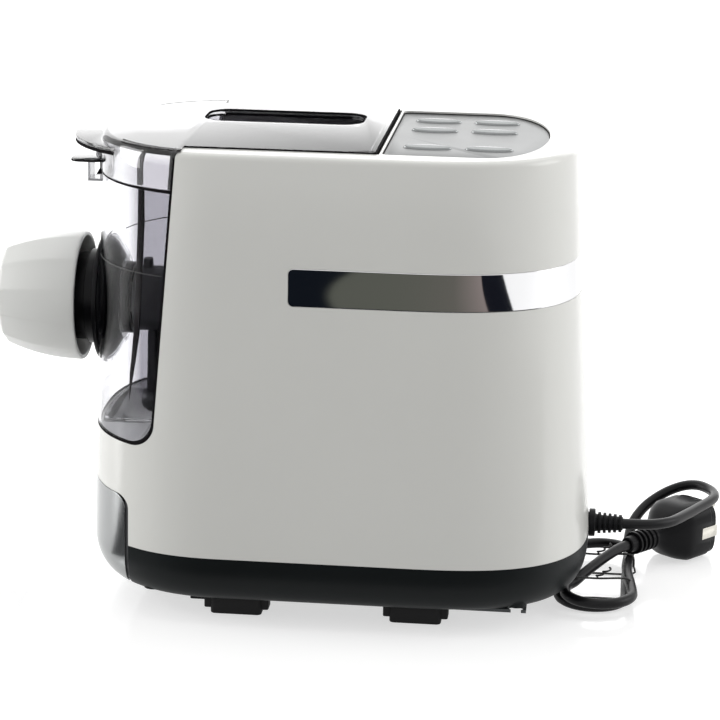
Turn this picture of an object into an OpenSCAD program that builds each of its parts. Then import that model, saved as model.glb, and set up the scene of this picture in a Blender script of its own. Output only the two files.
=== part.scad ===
// Electric pasta maker: white tapering housing on a dark base, a clear mixing
// chamber let into its nose, a horizontal auger that pushes the dough out
// through a screw-on nut, and a motor with a two-stage gear train behind.
// Millimetres. +Z up, -X towards the nut, the body is symmetric about Y = 0.
// x values in the modules are measured from the middle of the body; the whole
// machine is then moved so that the origin lies under the middle of its length.

/* [Body] */
// Length of the body at the seam with the base
body_l = 305; // [296:1:316]
// Width of the body at the seam
body_w = 200; // [196:1:210]
// Height of the top face above the table
body_h = 283; // [280:1:292]
// Height of the seam between housing and base
seam_z = 42; // [40:0.5:44]
// How far the nose leans back at the top
front_lean = 5.5; // [3:0.5:8]
// How far the tail leans in at the top
rear_lean = 14; // [10:0.5:16]
// How much narrower the top is than the seam, both sides together
side_lean = 6.3; // [4:0.1:8]
// Length of the curved part of the nose
nose_l = 91; // [88:1:96]
// Length of the curved part of the tail
tail_l = 112; // [106:1:116]
// Wall thickness of the housing and base
wall = 3; // [2.5:0.1:3.4]
// Thickness of the top deck
deck_t = 6; // [5:0.5:7]
// Rounding of the top edge
edge_r = 4; // [2:0.5:5]

/* [Base and feet] */
// Height of the base underside above the table
base_z = 13; // [12:0.5:14]
// Floor thickness of the base
floor_t = 4; // [3:0.5:5]
// Length of one rubber foot
foot_l = 31; // [26:1:34]
// Width of one rubber foot
foot_w = 15; // [12:1:16]
// Distance of the feet from the middle plane
foot_y = 71; // [69:0.5:72]
// Thickness of the underside cover plate
plate_t = 2; // [1.5:0.1:2.5]
// Distance of the housing screws from the middle plane
screw_y = 76; // [75:0.5:77]

/* [Chamber] */
// Height of the auger axis above the table
axis_z = 174.5; // [172:0.5:176]
// Inside radius of the mixing trough
trough_r = 76; // [75:0.5:77]
// Wall thickness of the clear chamber
glass_t = 3; // [2.5:0.1:3.2]
// Depth of the chamber's side window behind the foremost point, at the top
window_l = 62.5; // [60.5:0.5:64.5]
// Height of the sill below the chamber window
sill_z = 105; // [103:0.5:107]
// Corner radius of the chamber window
sill_r = 16; // [12:1:18]
// Gap between neighbouring outer parts
gap = 0.4; // [0.3:0.05:0.5]

/* [Lid] */
// Height of the lid, from its joint with the chamber to the top face
lid_h = 23; // [21:0.5:25]
// Half width of the lid's rear strip
lid_half = 78; // [77.5:0.1:78.5]
// Distance of the lid's rear edge behind the body middle
lid_end = 22.6; // [22:0.1:23]
// Thickness of the lid's top plate
lid_t = 3; // [2.5:0.1:3.5]
// Wall thickness of the lid's skirt
skirt_t = 2.5; // [2.2:0.1:2.8]
// Length of the fill slot
slot_l = 98; // [90:1:102]
// Width of the fill slot
slot_w = 44; // [40:1:46]
// Radius of the lid's hinge pins
pin_r = 1.75; // [1.5:0.05:1.9]
// Reach of the lid's front brim beyond the nose
brim_reach = 18; // [14:0.5:20]

/* [Control panel] */
// Half width of the control panel
panel_half = 78; // [76:0.5:79]
// Front edge of the panel behind the body middle
panel_x0 = 26.5; // [26.5:0.1:27.5]
// Rear tip of the panel behind the body middle
panel_x1 = 119.7; // [117:0.5:121]
// Length of one push button
button_l = 28; // [26:0.5:29]
// Width of one push button
button_w = 9; // [8:0.2:9.4]
// Height of the buttons above the panel
button_h = 1.2; // [0.9:0.1:1.6]
// Travel of a push button
button_travel = 0.8; // [0.5:0.1:0.9]

/* [Extruder] */
// Distance of the nut's front face before the body's foremost point
nut_reach = 58.5; // [57:0.5:60]
// Length of the nut
nut_l = 49.5; // [48:0.5:50]
// Radius of the nut's rear rim
nut_r = 39.6; // [39:0.1:41]
// Radius of the nut's front face
nut_front_r = 31; // [30:0.5:33]
// Radius of the black flange behind the nut
flange_r = 38.5; // [37:0.5:39]
// Outside radius of the threaded neck
neck_r = 28; // [27:0.2:28.2]
// Inside radius of the extruder barrel
barrel_r = 18.8; // [18.4:0.1:19]
// Radius of the auger flights
auger_r = 18; // [17:0.1:18.1]
// Pitch of the auger flights
auger_pitch = 18; // [15:1:20]
// Distance of the paddle bar from the auger axis
bar_reach = 64; // [62:0.5:65]
// Radius of the paddle bar
bar_r = 8.5; // [7.5:0.1:8.8]

/* [Drawer] */
// Height of the drawer front's top edge
drawer_top = 72; // [70:0.5:74]
// Depth of the drawer front behind the body's foremost point
drawer_l = 31.8; // [30.5:0.1:33.5]
// Inside half width of the drawer tray
tray_half = 60; // [58.5:0.5:61]
// Length of the drawer tray
tray_l = 88; // [80:1:90]

/* [Drive] */
// Gear module
gear_m = 1.25; // [1.2:0.01:1.28]
// Face width of the gears
gear_w = 8; // [7:0.5:8.5]
// Radius of the output shaft
shaft_r = 6; // [5.5:0.1:6.4]
// Radius of the motor
motor_r = 36; // [33:1:37]
// Running clearance between a shaft and its bore
run_gap = 0.08; // [0.05:0.01:0.1]

/* [Trim band] */
// Height of the lower edge of the mirror band
band_z = 196.5; // [194:0.5:199]
// Width of the mirror band
band_w = 22; // [18:0.5:24]
// Distance of the band's ends before the body middle
band_x = 24; // [20:1:28]

/* [Cord] */
// Diameter of the mains lead
cord_d = 6.5; // [6:0.1:7]
// Height of the cord bushing
cord_z = 43.5; // [43:0.5:45]

/* [Hidden] */
$fn = 64;
far = 400;
nose_n = 2.4;
tail_n = 2.9;
arc_steps = 15;
// The origin is under the middle of the machine's length, nut included.
mid_x = nut_reach / 2;
front_x = -body_l / 2;
tail_x = body_l / 2;
nut_x0 = front_x - nut_reach;
nut_x1 = nut_x0 + nut_l;
edge_x = body_l / 2 - window_l;
edge_lean = 0.074;
rim_z = body_h - lid_h;
drawer_x = body_l / 2 - drawer_l;
floor_z = base_z + floor_t;
cavity_top = body_h - deck_t;
panel_z = body_h - 1.5;
panel_t = 2;
panel_gap = 0.25;
ledge_w = 4;
trough_o = trough_r + glass_t;
chamber_end = 10;
liner_gap = 0.6;
liner_t = 2.4;
liner_r = trough_o + liner_gap;
liner_end = chamber_end + 2.5;
liner_back = liner_end + liner_t;
frame_x = 24;
frame_t = 3;
case_x0 = frame_x + frame_t;
case_wall = 3;
stage2_x = case_x0 + 6;
stage1_x = stage2_x + gear_w + 4;
case_x1 = stage1_x + gear_w + 4;
cover_t = 3;
motor_x0 = case_x1 + cover_t;
cap_l = 10;
stator_l = 34;
motor_x1 = motor_x0 + 2 * cap_l + stator_l;
motor_shaft_r = 4;
pinion_teeth = 12;
idler_teeth = 50;
idler_pinion_teeth = 13;
output_teeth = 50;
stage2_c = gear_m * (idler_pinion_teeth + output_teeth) / 2;
stage1_c = gear_m * (pinion_teeth + idler_teeth) / 2;
idler_z = axis_z - stage2_c;
motor_z = idler_z - stage1_c;
axle_r = 4;
case_r = gear_m * (output_teeth / 2 + 1) + case_wall + 1.5;
pivot_x = lid_end - 3.1;
pivot_z = body_h - 3.7;
well_end = lid_end + 2.3;
hub_x0 = front_x + 22.5;
hub_x1 = chamber_end - glass_t - 3;
hub_r = 20;
flange_x = front_x + 1.5;
flange_t = 3;
dome_x = flange_x + 13;
head_end = dome_x + 7;
neck_x0 = nut_x0 + 8.4;
nut_wall = 3.7;
nut_mouth_r = 24;
disc_r = neck_r - 0.5;
disc_t = 4;
seat_gap = 0.3;
shaft_x0 = -55;
latch_x = front_x + front_lean - 3;
latch_z = rim_z + 5;
plunger_x = lid_end - skirt_t / 2;
plunger_y = 64;
button_x = [50, 86];
button_y = [-43.5, 16, 49];
screw_x = [front_x + 46.5, tail_x - 40.5];
foot_x = [front_x + 96.5, tail_x - 100.5];
tray_x0 = -drawer_x;
tray_x1 = -drawer_x + tray_l + 2;
drawer_back = 2;
hank_r = 23;
hank_h = 1.65 * cord_d;
hank_near = [158, -27];
hank_far = [160, 46];
bushing_in = tail_at(cord_z) - wall - 5;
bushing_end = tail_x + 21;
plug_at = [177, 33, 18.5];
plug_turn = 50;
plug_face = 68;
// The cord's places are written for a tail at this x and go with the tail
cord_at = 152.5;
// Route of the lead: out of the bushing, over the plug, round behind it and into the
// foot of the hank
lead_route = [[173.5, 0, cord_z], [177.5, 0, cord_z], [181, 0, cord_z], [187.8, 0.8, 43.4],
    [194.1, 3.3, 43.2], [199.7, 7.2, 43], [204.2, 12.3, 42.7], [208.2, 19.4, 42.4],
    [212.4, 28, 42], [216.7, 37, 41.6], [220.9, 46, 41.3], [225, 54.6, 41], [228.7, 63, 40.8],
    [231.4, 71.4, 40.7], [231.4, 80.6, 40.7], [228.2, 89.2, 40.7], [222.3, 96.3, 40.6],
    [214.4, 100.9, 38.8], [205.3, 102.5, 35], [196.2, 100.9, 30], [188.3, 96.3, 24.6],
    [182.4, 89.2, 18.8], [179.7, 82.9, 14.3], [178.2, 74, 9.4], [178, 65, 5.8],
    [178.4, 56.5, 3.9], [178.8, 48, 3.4]];
// Short free stretch from the top of the hank into the plug's bend relief
tail_route = [[149.8, -8.2, 11.6], [155.5, 1.5, 13.6], [161.5, 11.3, 15.6],
    [167.3, 19.9, 17.2], [172.2, 26.8, 18.2], [177, 33, 18.5]];

// ---- Outline of the body: straight sides, superelliptic nose and tail ----
function lean(z) = max(0, (z - seam_z) / (body_h - seam_z));
function half_at(z) = (body_w - side_lean * lean(z)) / 2;
function front_at(z) = front_x + front_lean * lean(z);
function tail_at(z) = tail_x - rear_lean * lean(z);
function curve(a, n) = pow(abs(a), 2 / n);
function nose_pt(a, h, x, l) = [x + l * (1 - curve(cos(a), nose_n)), h * curve(sin(a), nose_n)];
function tail_pt(a, h, x, l) = [x - l * (1 - curve(sin(a), tail_n)), h * curve(cos(a), tail_n)];
function half_outline(h, x0, x1, nl, tl) = concat(
    [for (i = [0 : arc_steps]) nose_pt(90 * i / arc_steps, h, x0, nl)],
    [for (i = [0 : arc_steps]) tail_pt(90 * i / arc_steps, h, x1, tl)]);
function mirrored(p) = concat(p, [for (i = [len(p) - 2 : -1 : 1]) [p[i][0], -p[i][1]]]);
// All curves shrink alike with height, so that the walls between two levels stay flat
function shrink(z) = half_at(z) / half_at(seam_z);
function outline(z, inset) = let (k = shrink(z)) mirrored(half_outline(
    k * (body_w / 2 - inset), front_at(z) + inset, tail_at(z) - inset,
    k * (nose_l - inset), k * (tail_l - inset)));
function level_ring(l) = [for (p = outline(l[0], l[1])) [p[0], p[1], l[0]]];

// A closed skin through rings of equally many points, listed from low to high
module skin(rings) {
    n = len(rings[0]);
    m = len(rings);
    walls = [for (k = [0 : m - 2], i = [0 : n - 1])
        let (j = (i + 1) % n, a = k * n + i, b = k * n + j)
        each [[a, b, a + n], [b, b + n, a + n]]];
    low = [[for (i = [n - 1 : -1 : 0]) i]];
    high = [[for (i = [0 : n - 1]) (m - 1) * n + i]];
    polyhedron(points = [for (r = rings) each r], faces = concat(walls, low, high));
}
module loft(levels) {
    skin([for (l = levels) level_ring(l)]);
}
function edge_levels() = [for (a = [0, 45, 90])
    [body_h - edge_r * (1 - sin(a)), edge_r * (1 - cos(a))]];
module housing_form() {
    loft(concat([[seam_z, 0]], edge_levels()));
}
base_rx = 15;
base_rz = 22;
module base_form(top) {
    loft(concat([for (a = [0 : 22.5 : 90])
        [base_z + base_rz * (1 - cos(a)), base_rx * (1 - sin(a))]], [[top, 0]]));
}
module inner_form(inset, z0, z1) {
    loft([[z0, inset], [z1, inset]]);
}

// ---- Small helpers ----
module place() {
    translate([mid_x, 0, 0]) children();
}
module rod(r, x0, x1, y = 0, z = axis_z) {
    translate([x0, y, z]) rotate([0, 90, 0]) cylinder(r = r, h = x1 - x0);
}
module pipe(ro, ri, x0, x1, y = 0, z = axis_z) {
    difference() {
        rod(ro, x0, x1, y, z);
        rod(ri, x0 - 1, x1 + 1, y, z);
    }
}
module cross_rod(r, y0, y1, x, z) {
    translate([x, y1, z]) rotate([90, 0, 0]) cylinder(r = r, h = y1 - y0);
}
module block(x0, x1, y0, y1, z0, z1) {
    translate([x0, y0, z0]) cube([x1 - x0, y1 - y0, z1 - z0]);
}
// Extrudes a side-view outline (x, z) across the width
module across(half) {
    rotate([90, 0, 0]) linear_extrude(height = 2 * half, center = true) children();
}
// Turns a profile (radius, x) about the auger axis
module about_axis() {
    translate([0, 0, axis_z]) rotate([0, 90, 0]) rotate_extrude() children();
}
module stadium(l, w) {
    square([l - w, w], center = true);
    for (s = [-1, 1]) translate([s * (l - w) / 2, 0]) circle(d = w);
}
function turned(i, n, r, a) = [r * cos(360 / n * (i + a)), r * sin(360 / n * (i + a))];
function tooth(i, n, rr, rt) = [turned(i, n, rr, -0.33), turned(i, n, rt, -0.12),
    turned(i, n, rt, 0.12), turned(i, n, rr, 0.33)];
// Spur gear about an axis along X, with a tooth at the angle phase from +Y
module gear(teeth, x0, z, bore, phase) {
    root = gear_m * (teeth / 2 - 1.25);
    tip = gear_m * (teeth / 2 + 0.9);
    translate([x0, 0, z]) rotate([90, 0, 90]) linear_extrude(height = gear_w)
        difference() {
            rotate(phase) polygon([for (i = [0 : teeth - 1]) each tooth(i, teeth, root, tip)]);
            circle(r = bore);
        }
}
// A tube of constant diameter along a route, as one closed skin
function unit(v) = v / norm(v);
function along(p, i) = unit(p[min(i + 1, len(p) - 1)] - p[max(i - 1, 0)]);
function ring_at(p, i, r, n) = let (t = along(p, i), s = unit(cross([0, 0, 1], t)), u = cross(t, s))
    [for (k = [0 : n - 1]) p[i] + r * cos(360 * k / n) * s - r * sin(360 * k / n) * u];
module tube_along(p, r, n = 10) {
    skin([for (i = [0 : len(p) - 1]) ring_at(p, i, r, n)]);
}
function fillet(cx, cz, r, a0, a1, n = 8) = [for (i = [0 : n])
    [cx + r * cos(a0 + (a1 - a0) * i / n), cz + r * sin(a0 + (a1 - a0) * i / n)]];

// ---- Shapes that several parts share ----
// Side view of everything in front of the housing's edge and above the sill
function edge_at(z) = -edge_x - edge_lean * (body_h - z);
module window_side(g) {
    top_r = 3;
    polygon(concat([[-far, sill_z + g]],
        fillet(edge_at(sill_z) - sill_r - g, sill_z + sill_r + g, sill_r, -90, 0),
        [[edge_at(body_h - top_r) - g, body_h - top_r]],
        [[edge_at(body_h) + top_r - g, body_h]],
        [[edge_at(body_h) + top_r - g, body_h + 20], [-far, body_h + 20]]));
}
module drawer_side(g) {
    r = 8;
    polygon(concat([[-far, -1], [-drawer_x + g, -1]],
        fillet(-drawer_x + g - r, drawer_top + g - r, r, 0, 90), [[-far, drawer_top + g]]));
}
module panel_face(off) {
    tip_l = 38 + off;
    h = panel_half + off;
    x0 = panel_x0 - off;
    x1 = panel_x1 + off;
    c = 4;
    side = concat([[x0, 0], [x0, h - c], [x0 + c, h]],
        [for (i = [0 : arc_steps]) let (a = 90 * i / arc_steps)
            [x1 - tip_l * (1 - pow(sin(a), 0.95)), h * pow(cos(a), 0.95)]]);
    polygon(mirrored(side));
}
// Plan of the lid's rear strip
module strip(h, x1, z0, z1) {
    block(edge_at(z0) - 2.5, x1, -h, h, z0, z1);
}
module band_zone(g) {
    r = 3;
    translate([-band_x - g, 0, band_z - g]) across(far)
        translate([r, r]) offset_free_plate(far - 2 * r, band_w + 2 * g - 2 * r, r);
}
// Rounded plate from its inner rectangle, drawn with circles so that it stays exact
module offset_free_plate(l, w, r) {
    translate([-r, 0]) square([l + 2 * r, w]);
    translate([0, -r]) square([l, w + 2 * r]);
    for (x = [0, l], y = [0, w]) translate([x, y]) circle(r = r);
}
module boss_pair(r, z0, z1) {
    for (x = screw_x, s = [-1, 1]) translate([x, s * screw_y, z0]) cylinder(r = r, h = z1 - z0);
}
// Bowl that seats the extruder head in the chamber's nose
bowl_gap = 0.5;
function dome_r(x) = flange_r - 1.5 - 12.5 * pow((x - flange_x - flange_t) / 10, 1.6);
module dome(grow, x1) {
    about_axis() polygon(concat([[0, flange_x - 30]], [[flange_r + grow, flange_x - 30]],
        [[flange_r + grow, flange_x + flange_t + grow]],
        [for (i = [0 : 8]) let (x = flange_x + flange_t + (dome_x - flange_x - flange_t) * i / 8)
            [dome_r(x) + grow, x + grow]], [[0, x1]]));
}

// ---- Housing ----
module body_shell() {
    color("whitesmoke") place() difference() {
        union() {
            difference() {
                housing_form();
                inner_form(wall, seam_z - 1, cavity_top);
                block(edge_at(body_h) - 10, well_end, -lid_half - gap, lid_half + gap,
                    cavity_top - 1, body_h + 1);
                translate([0, 0, panel_z - panel_t]) linear_extrude(height = 20)
                    panel_face(panel_gap);
                translate([0, 0, cavity_top - 1]) linear_extrude(height = 20)
                    panel_face(-ledge_w);
            }
            intersection() {
                inner_form(wall - 0.5, seam_z, body_h - 20);
                block(-far, front_x + 60, -far, far, drawer_top + gap, drawer_top + gap + 2);
            }
            intersection() {
                inner_form(wall - 0.5, seam_z, body_h - 20);
                union() {
                    boss_pair(5, seam_z, seam_z + 26);
                    for (x = screw_x, s = [-1, 1])
                        block(x - 1, x + 1, s < 0 ? -far : screw_y, s < 0 ? -screw_y : far, seam_z,
                            seam_z + 26);
                }
            }
        }
        across(far) window_side(0);
        across(far) drawer_side(gap);
        boss_pair(1.6, seam_z - 1, seam_z + 24);
        difference() {
            band_zone(0.15);
            inner_form(1.4, band_z - 20, band_z + band_w + 20);
        }
        rod(bushing_neck + 0.1, tail_x - 12, tail_x + 5, 0, cord_z);
        cross_rod(pin_r + run_gap, -lid_half - 6.5, lid_half + 6.5, pivot_x, pivot_z);
    }
}
module trim_band() {
    color("silver") place() intersection() {
        difference() {
            inner_form(0.2, band_z - 20, band_z + band_w + 20);
            inner_form(1.4, band_z - 30, band_z + band_w + 30);
        }
        band_zone(0);
    }
}
module base_tray() {
    color([0.09, 0.1, 0.1]) place() difference() {
        union() {
            difference() {
                base_form(seam_z);
                loft([[floor_z, base_rx - 1], [floor_z + 9, wall + 1.4], [seam_z + 1, wall]]);
            }
            boss_pair(6, base_z + 1.5, seam_z);
            for (s = [-1, 1]) block(tray_x0 + 3, tray_x1 + 4, s * (tray_half + 4.2) - 1,
                s * (tray_half + 4.2) + 1, floor_z - 1, seam_z - 4);
            block(tray_x1 + 4, tray_x1 + 6, -tray_half - 5.2, tray_half + 5.2, floor_z - 1,
                seam_z - 4);
            for (x = [board_x0 + 6, board_x1 - 6], y = [board_y0 + 4, board_y1 - 4])
                translate([x, y, floor_z - 1]) cylinder(r = 3, h = board_stand + 1);
        }
        across(far) drawer_side(gap);
        boss_pair(2.2, base_z - 1, seam_z + 1);
        boss_pair(4.6, base_z - 1, base_z + 7);
        rod(bushing_neck + 0.1, tail_x - 12, tail_x + 5, 0, cord_z);
    }
}
plate_in = foot_y - foot_w / 2 - 5.5;
plate_out = screw_y + 4;
module bottom_plate() {
    vents = 9;
    color([0.13, 0.14, 0.14]) place() difference() {
        union() {
            block(foot_x[0] - 42, board_x1, -plate_in, plate_in, base_z - plate_t, base_z);
            block(foot_x[1] + 24, board_x1, -plate_out, plate_out, base_z - plate_t, base_z);
        }
        for (i = [0 : vents - 1]) translate([40 + 7 * i, 0, base_z - plate_t - 1])
            linear_extrude(height = plate_t + 2) rotate(90) stadium(50, 3);
        boss_pair(5, base_z - plate_t - 1, base_z + 1);
    }
}
module feet() {
    step = 4;
    color([0.05, 0.05, 0.05]) place() for (x = foot_x, s = [-1, 1])
        translate([x, s * foot_y, 0]) {
            linear_extrude(height = base_z) stadium_block(foot_l, foot_w, 3);
            translate([-foot_l / 2 - step, -foot_w / 2 + 2, 3])
                cube([foot_l + 2 * step, foot_w - 4, base_z - 3]);
            if (x < 0) translate([-foot_l / 2 - step - 8, -3, 7]) cube([9, 6, 2]);
        }
}
// Rectangle with rounded corners, from squares and circles
module stadium_block(l, w, r) {
    square([l - 2 * r, w], center = true);
    square([l, w - 2 * r], center = true);
    for (a = [-1, 1], b = [-1, 1]) translate([a * (l / 2 - r), b * (w / 2 - r)]) circle(r = r);
}
module base_screws() {
    color("silver") place() for (x = screw_x, s = [-1, 1])
        translate([x, s * screw_y, base_z + 4.4]) {
            difference() {
                cylinder(r = 4, h = 2.6);
                translate([0, 0, -1]) cylinder(r = 1.8, h = 2.4, $fn = 6);
            }
            cylinder(r = 1.55, h = seam_z - base_z + 16);
        }
}

// ---- Control panel ----
board_z = body_h - 15;
board_t = 1.6;
board_stand = 10;
post_r = 2;
// The front posts stand just outside the buttons' seats, the rear ones between two rows
function board_post_y(x) = x < button_x[1] ? button_y[2] + (button_w + 3) / 2 + post_r + 0.8
    : (button_y[1] + button_y[2]) / 2 + 1.5;
module button_place(i) {
    translate([button_x[i % 2], button_y[floor(i / 2)], 0]) children();
}
module panel_plate() {
    color([0.72, 0.73, 0.73]) place() difference() {
        union() {
            translate([0, 0, panel_z - panel_t]) linear_extrude(height = panel_t) panel_face(0);
            for (x = [40, 105], s = [-1, 1]) translate([x, s * board_post_y(x), board_z + board_t])
                cylinder(r = post_r, h = panel_z - board_z - board_t - 1);
        }
        for (i = [0 : 5]) button_place(i) translate([0, 0, panel_z - panel_t - 1])
            linear_extrude(height = panel_t + 2) stadium(button_l + 0.4, button_w + 0.4);
    }
}
module button(i) {
    seat = panel_z - panel_t - 0.2;
    color([0.78, 0.79, 0.79]) place() button_place(i) {
        translate([0, 0, seat - 2]) linear_extrude(height = 2)
            stadium(button_l + 3, button_w + 3);
        translate([0, 0, seat - 3.2]) linear_extrude(height = panel_z + button_h - seat + 3.2)
            stadium(button_l, button_w);
    }
}
module button_1() {
    button(0);
}
module button_2() {
    button(1);
}
module button_3() {
    button(2);
}
module button_4() {
    button(3);
}
module button_5() {
    button(4);
}
module button_6() {
    button(5);
}
module panel_board() {
    color("darkgreen") place() block(panel_x0 + 7.5, panel_x1 - 8.7,
        18 - panel_half, panel_half - 18, board_z, board_z + board_t);
}
module tact_switches() {
    top = panel_z - panel_t - 3.4 - button_travel - 0.2;
    color([0.2, 0.2, 0.22]) place() for (i = [0 : 5]) button_place(i) {
        translate([-3, -3, board_z + board_t]) cube([6, 6, 3.5]);
        translate([0, 0, board_z + board_t]) cylinder(r = 1.7, h = top - board_z - board_t);
    }
}

// ---- Mixing chamber and what carries it ----
module trough_space(r, x0, x1, top) {
    rod(r, x0, x1);
    block(x0, x1, -r, r, axis_z, top);
}
module mixing_chamber() {
    low = sill_z - 20;
    color([0.75, 0.74, 0.8, 0.35]) place() difference() {
        union() {
            intersection() {
                inner_form(0, seam_z, body_h - 10);
                across(far) window_side(gap);
                block(-far, 0, -far, far, 0, rim_z);
            }
            intersection() {
                inner_form(wall + 0.6, seam_z, body_h - 10);
                trough_space(trough_o, front_x, chamber_end, rim_z);
            }
            block(latch_x + 1.4, latch_x + 8, -5.5, 5.5, rim_z - 10, rim_z - 7);
        }
        difference() {
            intersection() {
                inner_form(glass_t, seam_z, body_h);
                translate([-glass_t, 0, glass_t]) across(far) window_side(gap);
            }
            difference() {
                about_axis() translate([0, front_x - 20]) square([flange_r + bowl_gap + glass_t, 36]);
                dome(bowl_gap + glass_t, dome_x + bowl_gap + glass_t);
            }
            bowl_wall();
        }
        difference() {
            intersection() {
                inner_form(wall + 0.6 + glass_t, seam_z, body_h);
                trough_space(trough_r, front_x, chamber_end - glass_t, body_h);
            }
            bowl_wall();
        }
        dome(bowl_gap, dome_x + bowl_gap);
        rod(head_tube_r + 0.3, dome_x - 2, dome_x + 10);
        rod(seal_r + 0.02, chamber_end - glass_t - 1, chamber_end + 1);
    }
}
head_tube_r = 22;
module bowl_wall() {
    intersection() {
        dome(bowl_gap + glass_t, dome_x + bowl_gap + glass_t);
        block(front_x - 5, dome_x + 6, -60, 60, axis_z - 60, axis_z + 60);
    }
}
seal_r = 11;
module shaft_seal() {
    color([0.15, 0.15, 0.16]) place() {
        pipe(seal_r, shaft_r + run_gap, chamber_end - glass_t - 0.5, chamber_end + 1);
        pipe(seal_r + 2, seal_r, chamber_end - glass_t - 1.8, chamber_end - glass_t);
        pipe(seal_r + 0.5, shaft_r + run_gap, chamber_end - glass_t - 1.8,
            chamber_end - glass_t - 0.5);
    }
}
module bay_liner() {
    front = edge_at(sill_z) + 8;
    color([0.2, 0.2, 0.22]) place() difference() {
        union() {
            difference() {
                trough_space(liner_r + liner_t, front, liner_back, rim_z - 2);
                trough_space(liner_r, front - 1, liner_end, body_h);
            }
            for (x = [-62, 2], s = [-1, 1]) block(x, x + 8, s * 76 - 4, s * 76 + 4, floor_z,
                axis_z - 36);
            for (y = [-46, 46], z = [axis_z - 40, axis_z + 62])
                rod(5, liner_back - 0.5, frame_x, y, z);
        }
        rod(liner_r, front - 1, liner_end);
        rod(14, liner_end - 1, liner_back + 1);
        across(far) window_side(-liner_gap);
    }
}
module chassis_frame() {
    color([0.62, 0.64, 0.66]) place() difference() {
        union() {
            block(frame_x, frame_x + frame_t, -58, 58, floor_z, axis_z + case_r + 36);
            block(frame_x, motor_x1 + 4, -34, 34, floor_z, floor_z + frame_t);
        }
        rod(14, frame_x - 1, case_x0 + 1);
        for (s = [-1, 1]) block(frame_x - 1, case_x0 + 1, s * 50 - 4, s * 50 + 4, floor_z + 8,
            floor_z + 18);
    }
}
// ---- Gearbox ----
module case_outline(r, x0, x1) {
    rod(r, x0, x1);
    rod(r, x0, x1, 0, idler_z);
    rod(r - 12, x0, x1, 0, motor_z);
    block(x0, x1, -r, r, idler_z, axis_z);
    block(x0, x1, -r + 12, r - 12, motor_z, idler_z);
}
module gearbox_case() {
    color([0.66, 0.67, 0.69]) place() difference() {
        union() {
            case_outline(case_r, case_x0, case_x1);
            rod(bush_r + 3, frame_x, case_x0 + 1);
        }
        difference() {
            case_outline(case_r - case_wall, case_x0 + case_wall, case_x1 + 1);
            rod(axle_r + 3.5, case_x0, stage2_x - 0.4, 0, idler_z);
        }
        rod(bush_r + 0.02, frame_x - 1, case_x0 + case_wall + 1);
        rod(axle_r + 0.02, case_x0 + 1, stage2_x, 0, idler_z);
    }
}
bush_r = 10;
motor_bush_r = 8;
module gearbox_cover() {
    color([0.6, 0.61, 0.63]) place() difference() {
        case_outline(case_r, case_x1, case_x1 + cover_t);
        rod(bush_r + 0.02, case_x1 - 1, case_x1 + cover_t + 1);
        rod(axle_r + 0.02, case_x1 - 1, case_x1 + cover_t + 1, 0, idler_z);
        rod(motor_bush_r + 3, case_x1 - 1, case_x1 + cover_t + 1, 0, motor_z);
    }
}
module shaft_bushes() {
    color("goldenrod") place() {
        pipe(bush_r, shaft_r + run_gap, frame_x, case_x0 + case_wall + 1);
        pipe(bush_r, shaft_r + run_gap, case_x1, case_x1 + cover_t + 1);
    }
}
module idler_axle() {
    color("silver") place() rod(axle_r, case_x0 + 1, case_x1 + cover_t, 0, idler_z);
}
module output_shaft() {
    color("silver") place() difference() {
        rod(shaft_r, shaft_x0, case_x1 + cover_t + 2);
        cross_rod(drive_pin_r + 0.02, -20, 20, hub_x1 - 6, axis_z);
    }
}
drive_pin_r = 2;
module drive_pin() {
    color("silver") place() cross_rod(drive_pin_r, -14, 14, hub_x1 - 6, axis_z);
}
module output_gear() {
    color([0.85, 0.84, 0.78]) place() {
        gear(output_teeth, stage2_x, axis_z, shaft_r + 0.02, 270 + 180 / output_teeth);
    }
}
module idler_gear() {
    color([0.9, 0.9, 0.86]) place() {
        gear(idler_pinion_teeth, stage2_x, idler_z, axle_r + run_gap, 90);
        gear(idler_teeth, stage1_x, idler_z, axle_r + run_gap, 270 + 180 / idler_teeth);
        pipe(gear_m * (idler_pinion_teeth / 2 - 1.25), axle_r + run_gap, stage2_x + gear_w - 0.5,
            stage1_x + 0.5, 0, idler_z);
    }
}
module motor_pinion() {
    color("goldenrod") place()
        gear(pinion_teeth, stage1_x, motor_z, motor_shaft_r + 0.02, 90);
}

// ---- Motor ----
module motor_stator() {
    x0 = motor_x0 + cap_l;
    color([0.45, 0.46, 0.48]) place() difference() {
        rod(motor_r, x0, x0 + stator_l, 0, motor_z);
        rod(motor_r - 15, x0 - 1, x0 + stator_l + 1, 0, motor_z);
        for (a = [0 : 60 : 300]) translate([0, 0, motor_z]) rotate([a, 0, 0])
            rod(4.6, x0 - 1, x0 + stator_l + 1, 0, motor_r - 10);
    }
}
module motor_coils() {
    x0 = motor_x0 + cap_l - 4;
    color([0.75, 0.4, 0.2]) place() for (a = [0 : 60 : 300]) translate([0, 0, motor_z])
        rotate([a, 0, 0]) rod(4.4, x0, x0 + stator_l + 8, 0, motor_r - 10);
}
module motor_end_caps() {
    color([0.3, 0.31, 0.33]) place() for (s = [0, 1]) {
        x0 = motor_x0 + s * (cap_l + stator_l);
        x_in = s == 0 ? x0 + 3 : x0 - 1;
        difference() {
            rod(motor_r, x0, x0 + cap_l, 0, motor_z);
            rod(motor_r - 3, x_in, x_in + cap_l - 2, 0, motor_z);
            rod(motor_bush_r + 0.02, x0 - 1, x0 + cap_l + 1, 0, motor_z);
            for (a = [0 : 45 : 315]) translate([0, 0, motor_z]) rotate([a, 0, 0])
                rod(3.2, x0 - 1, x0 + cap_l + 1, 0, motor_r - 13);
        }
    }
}
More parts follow.
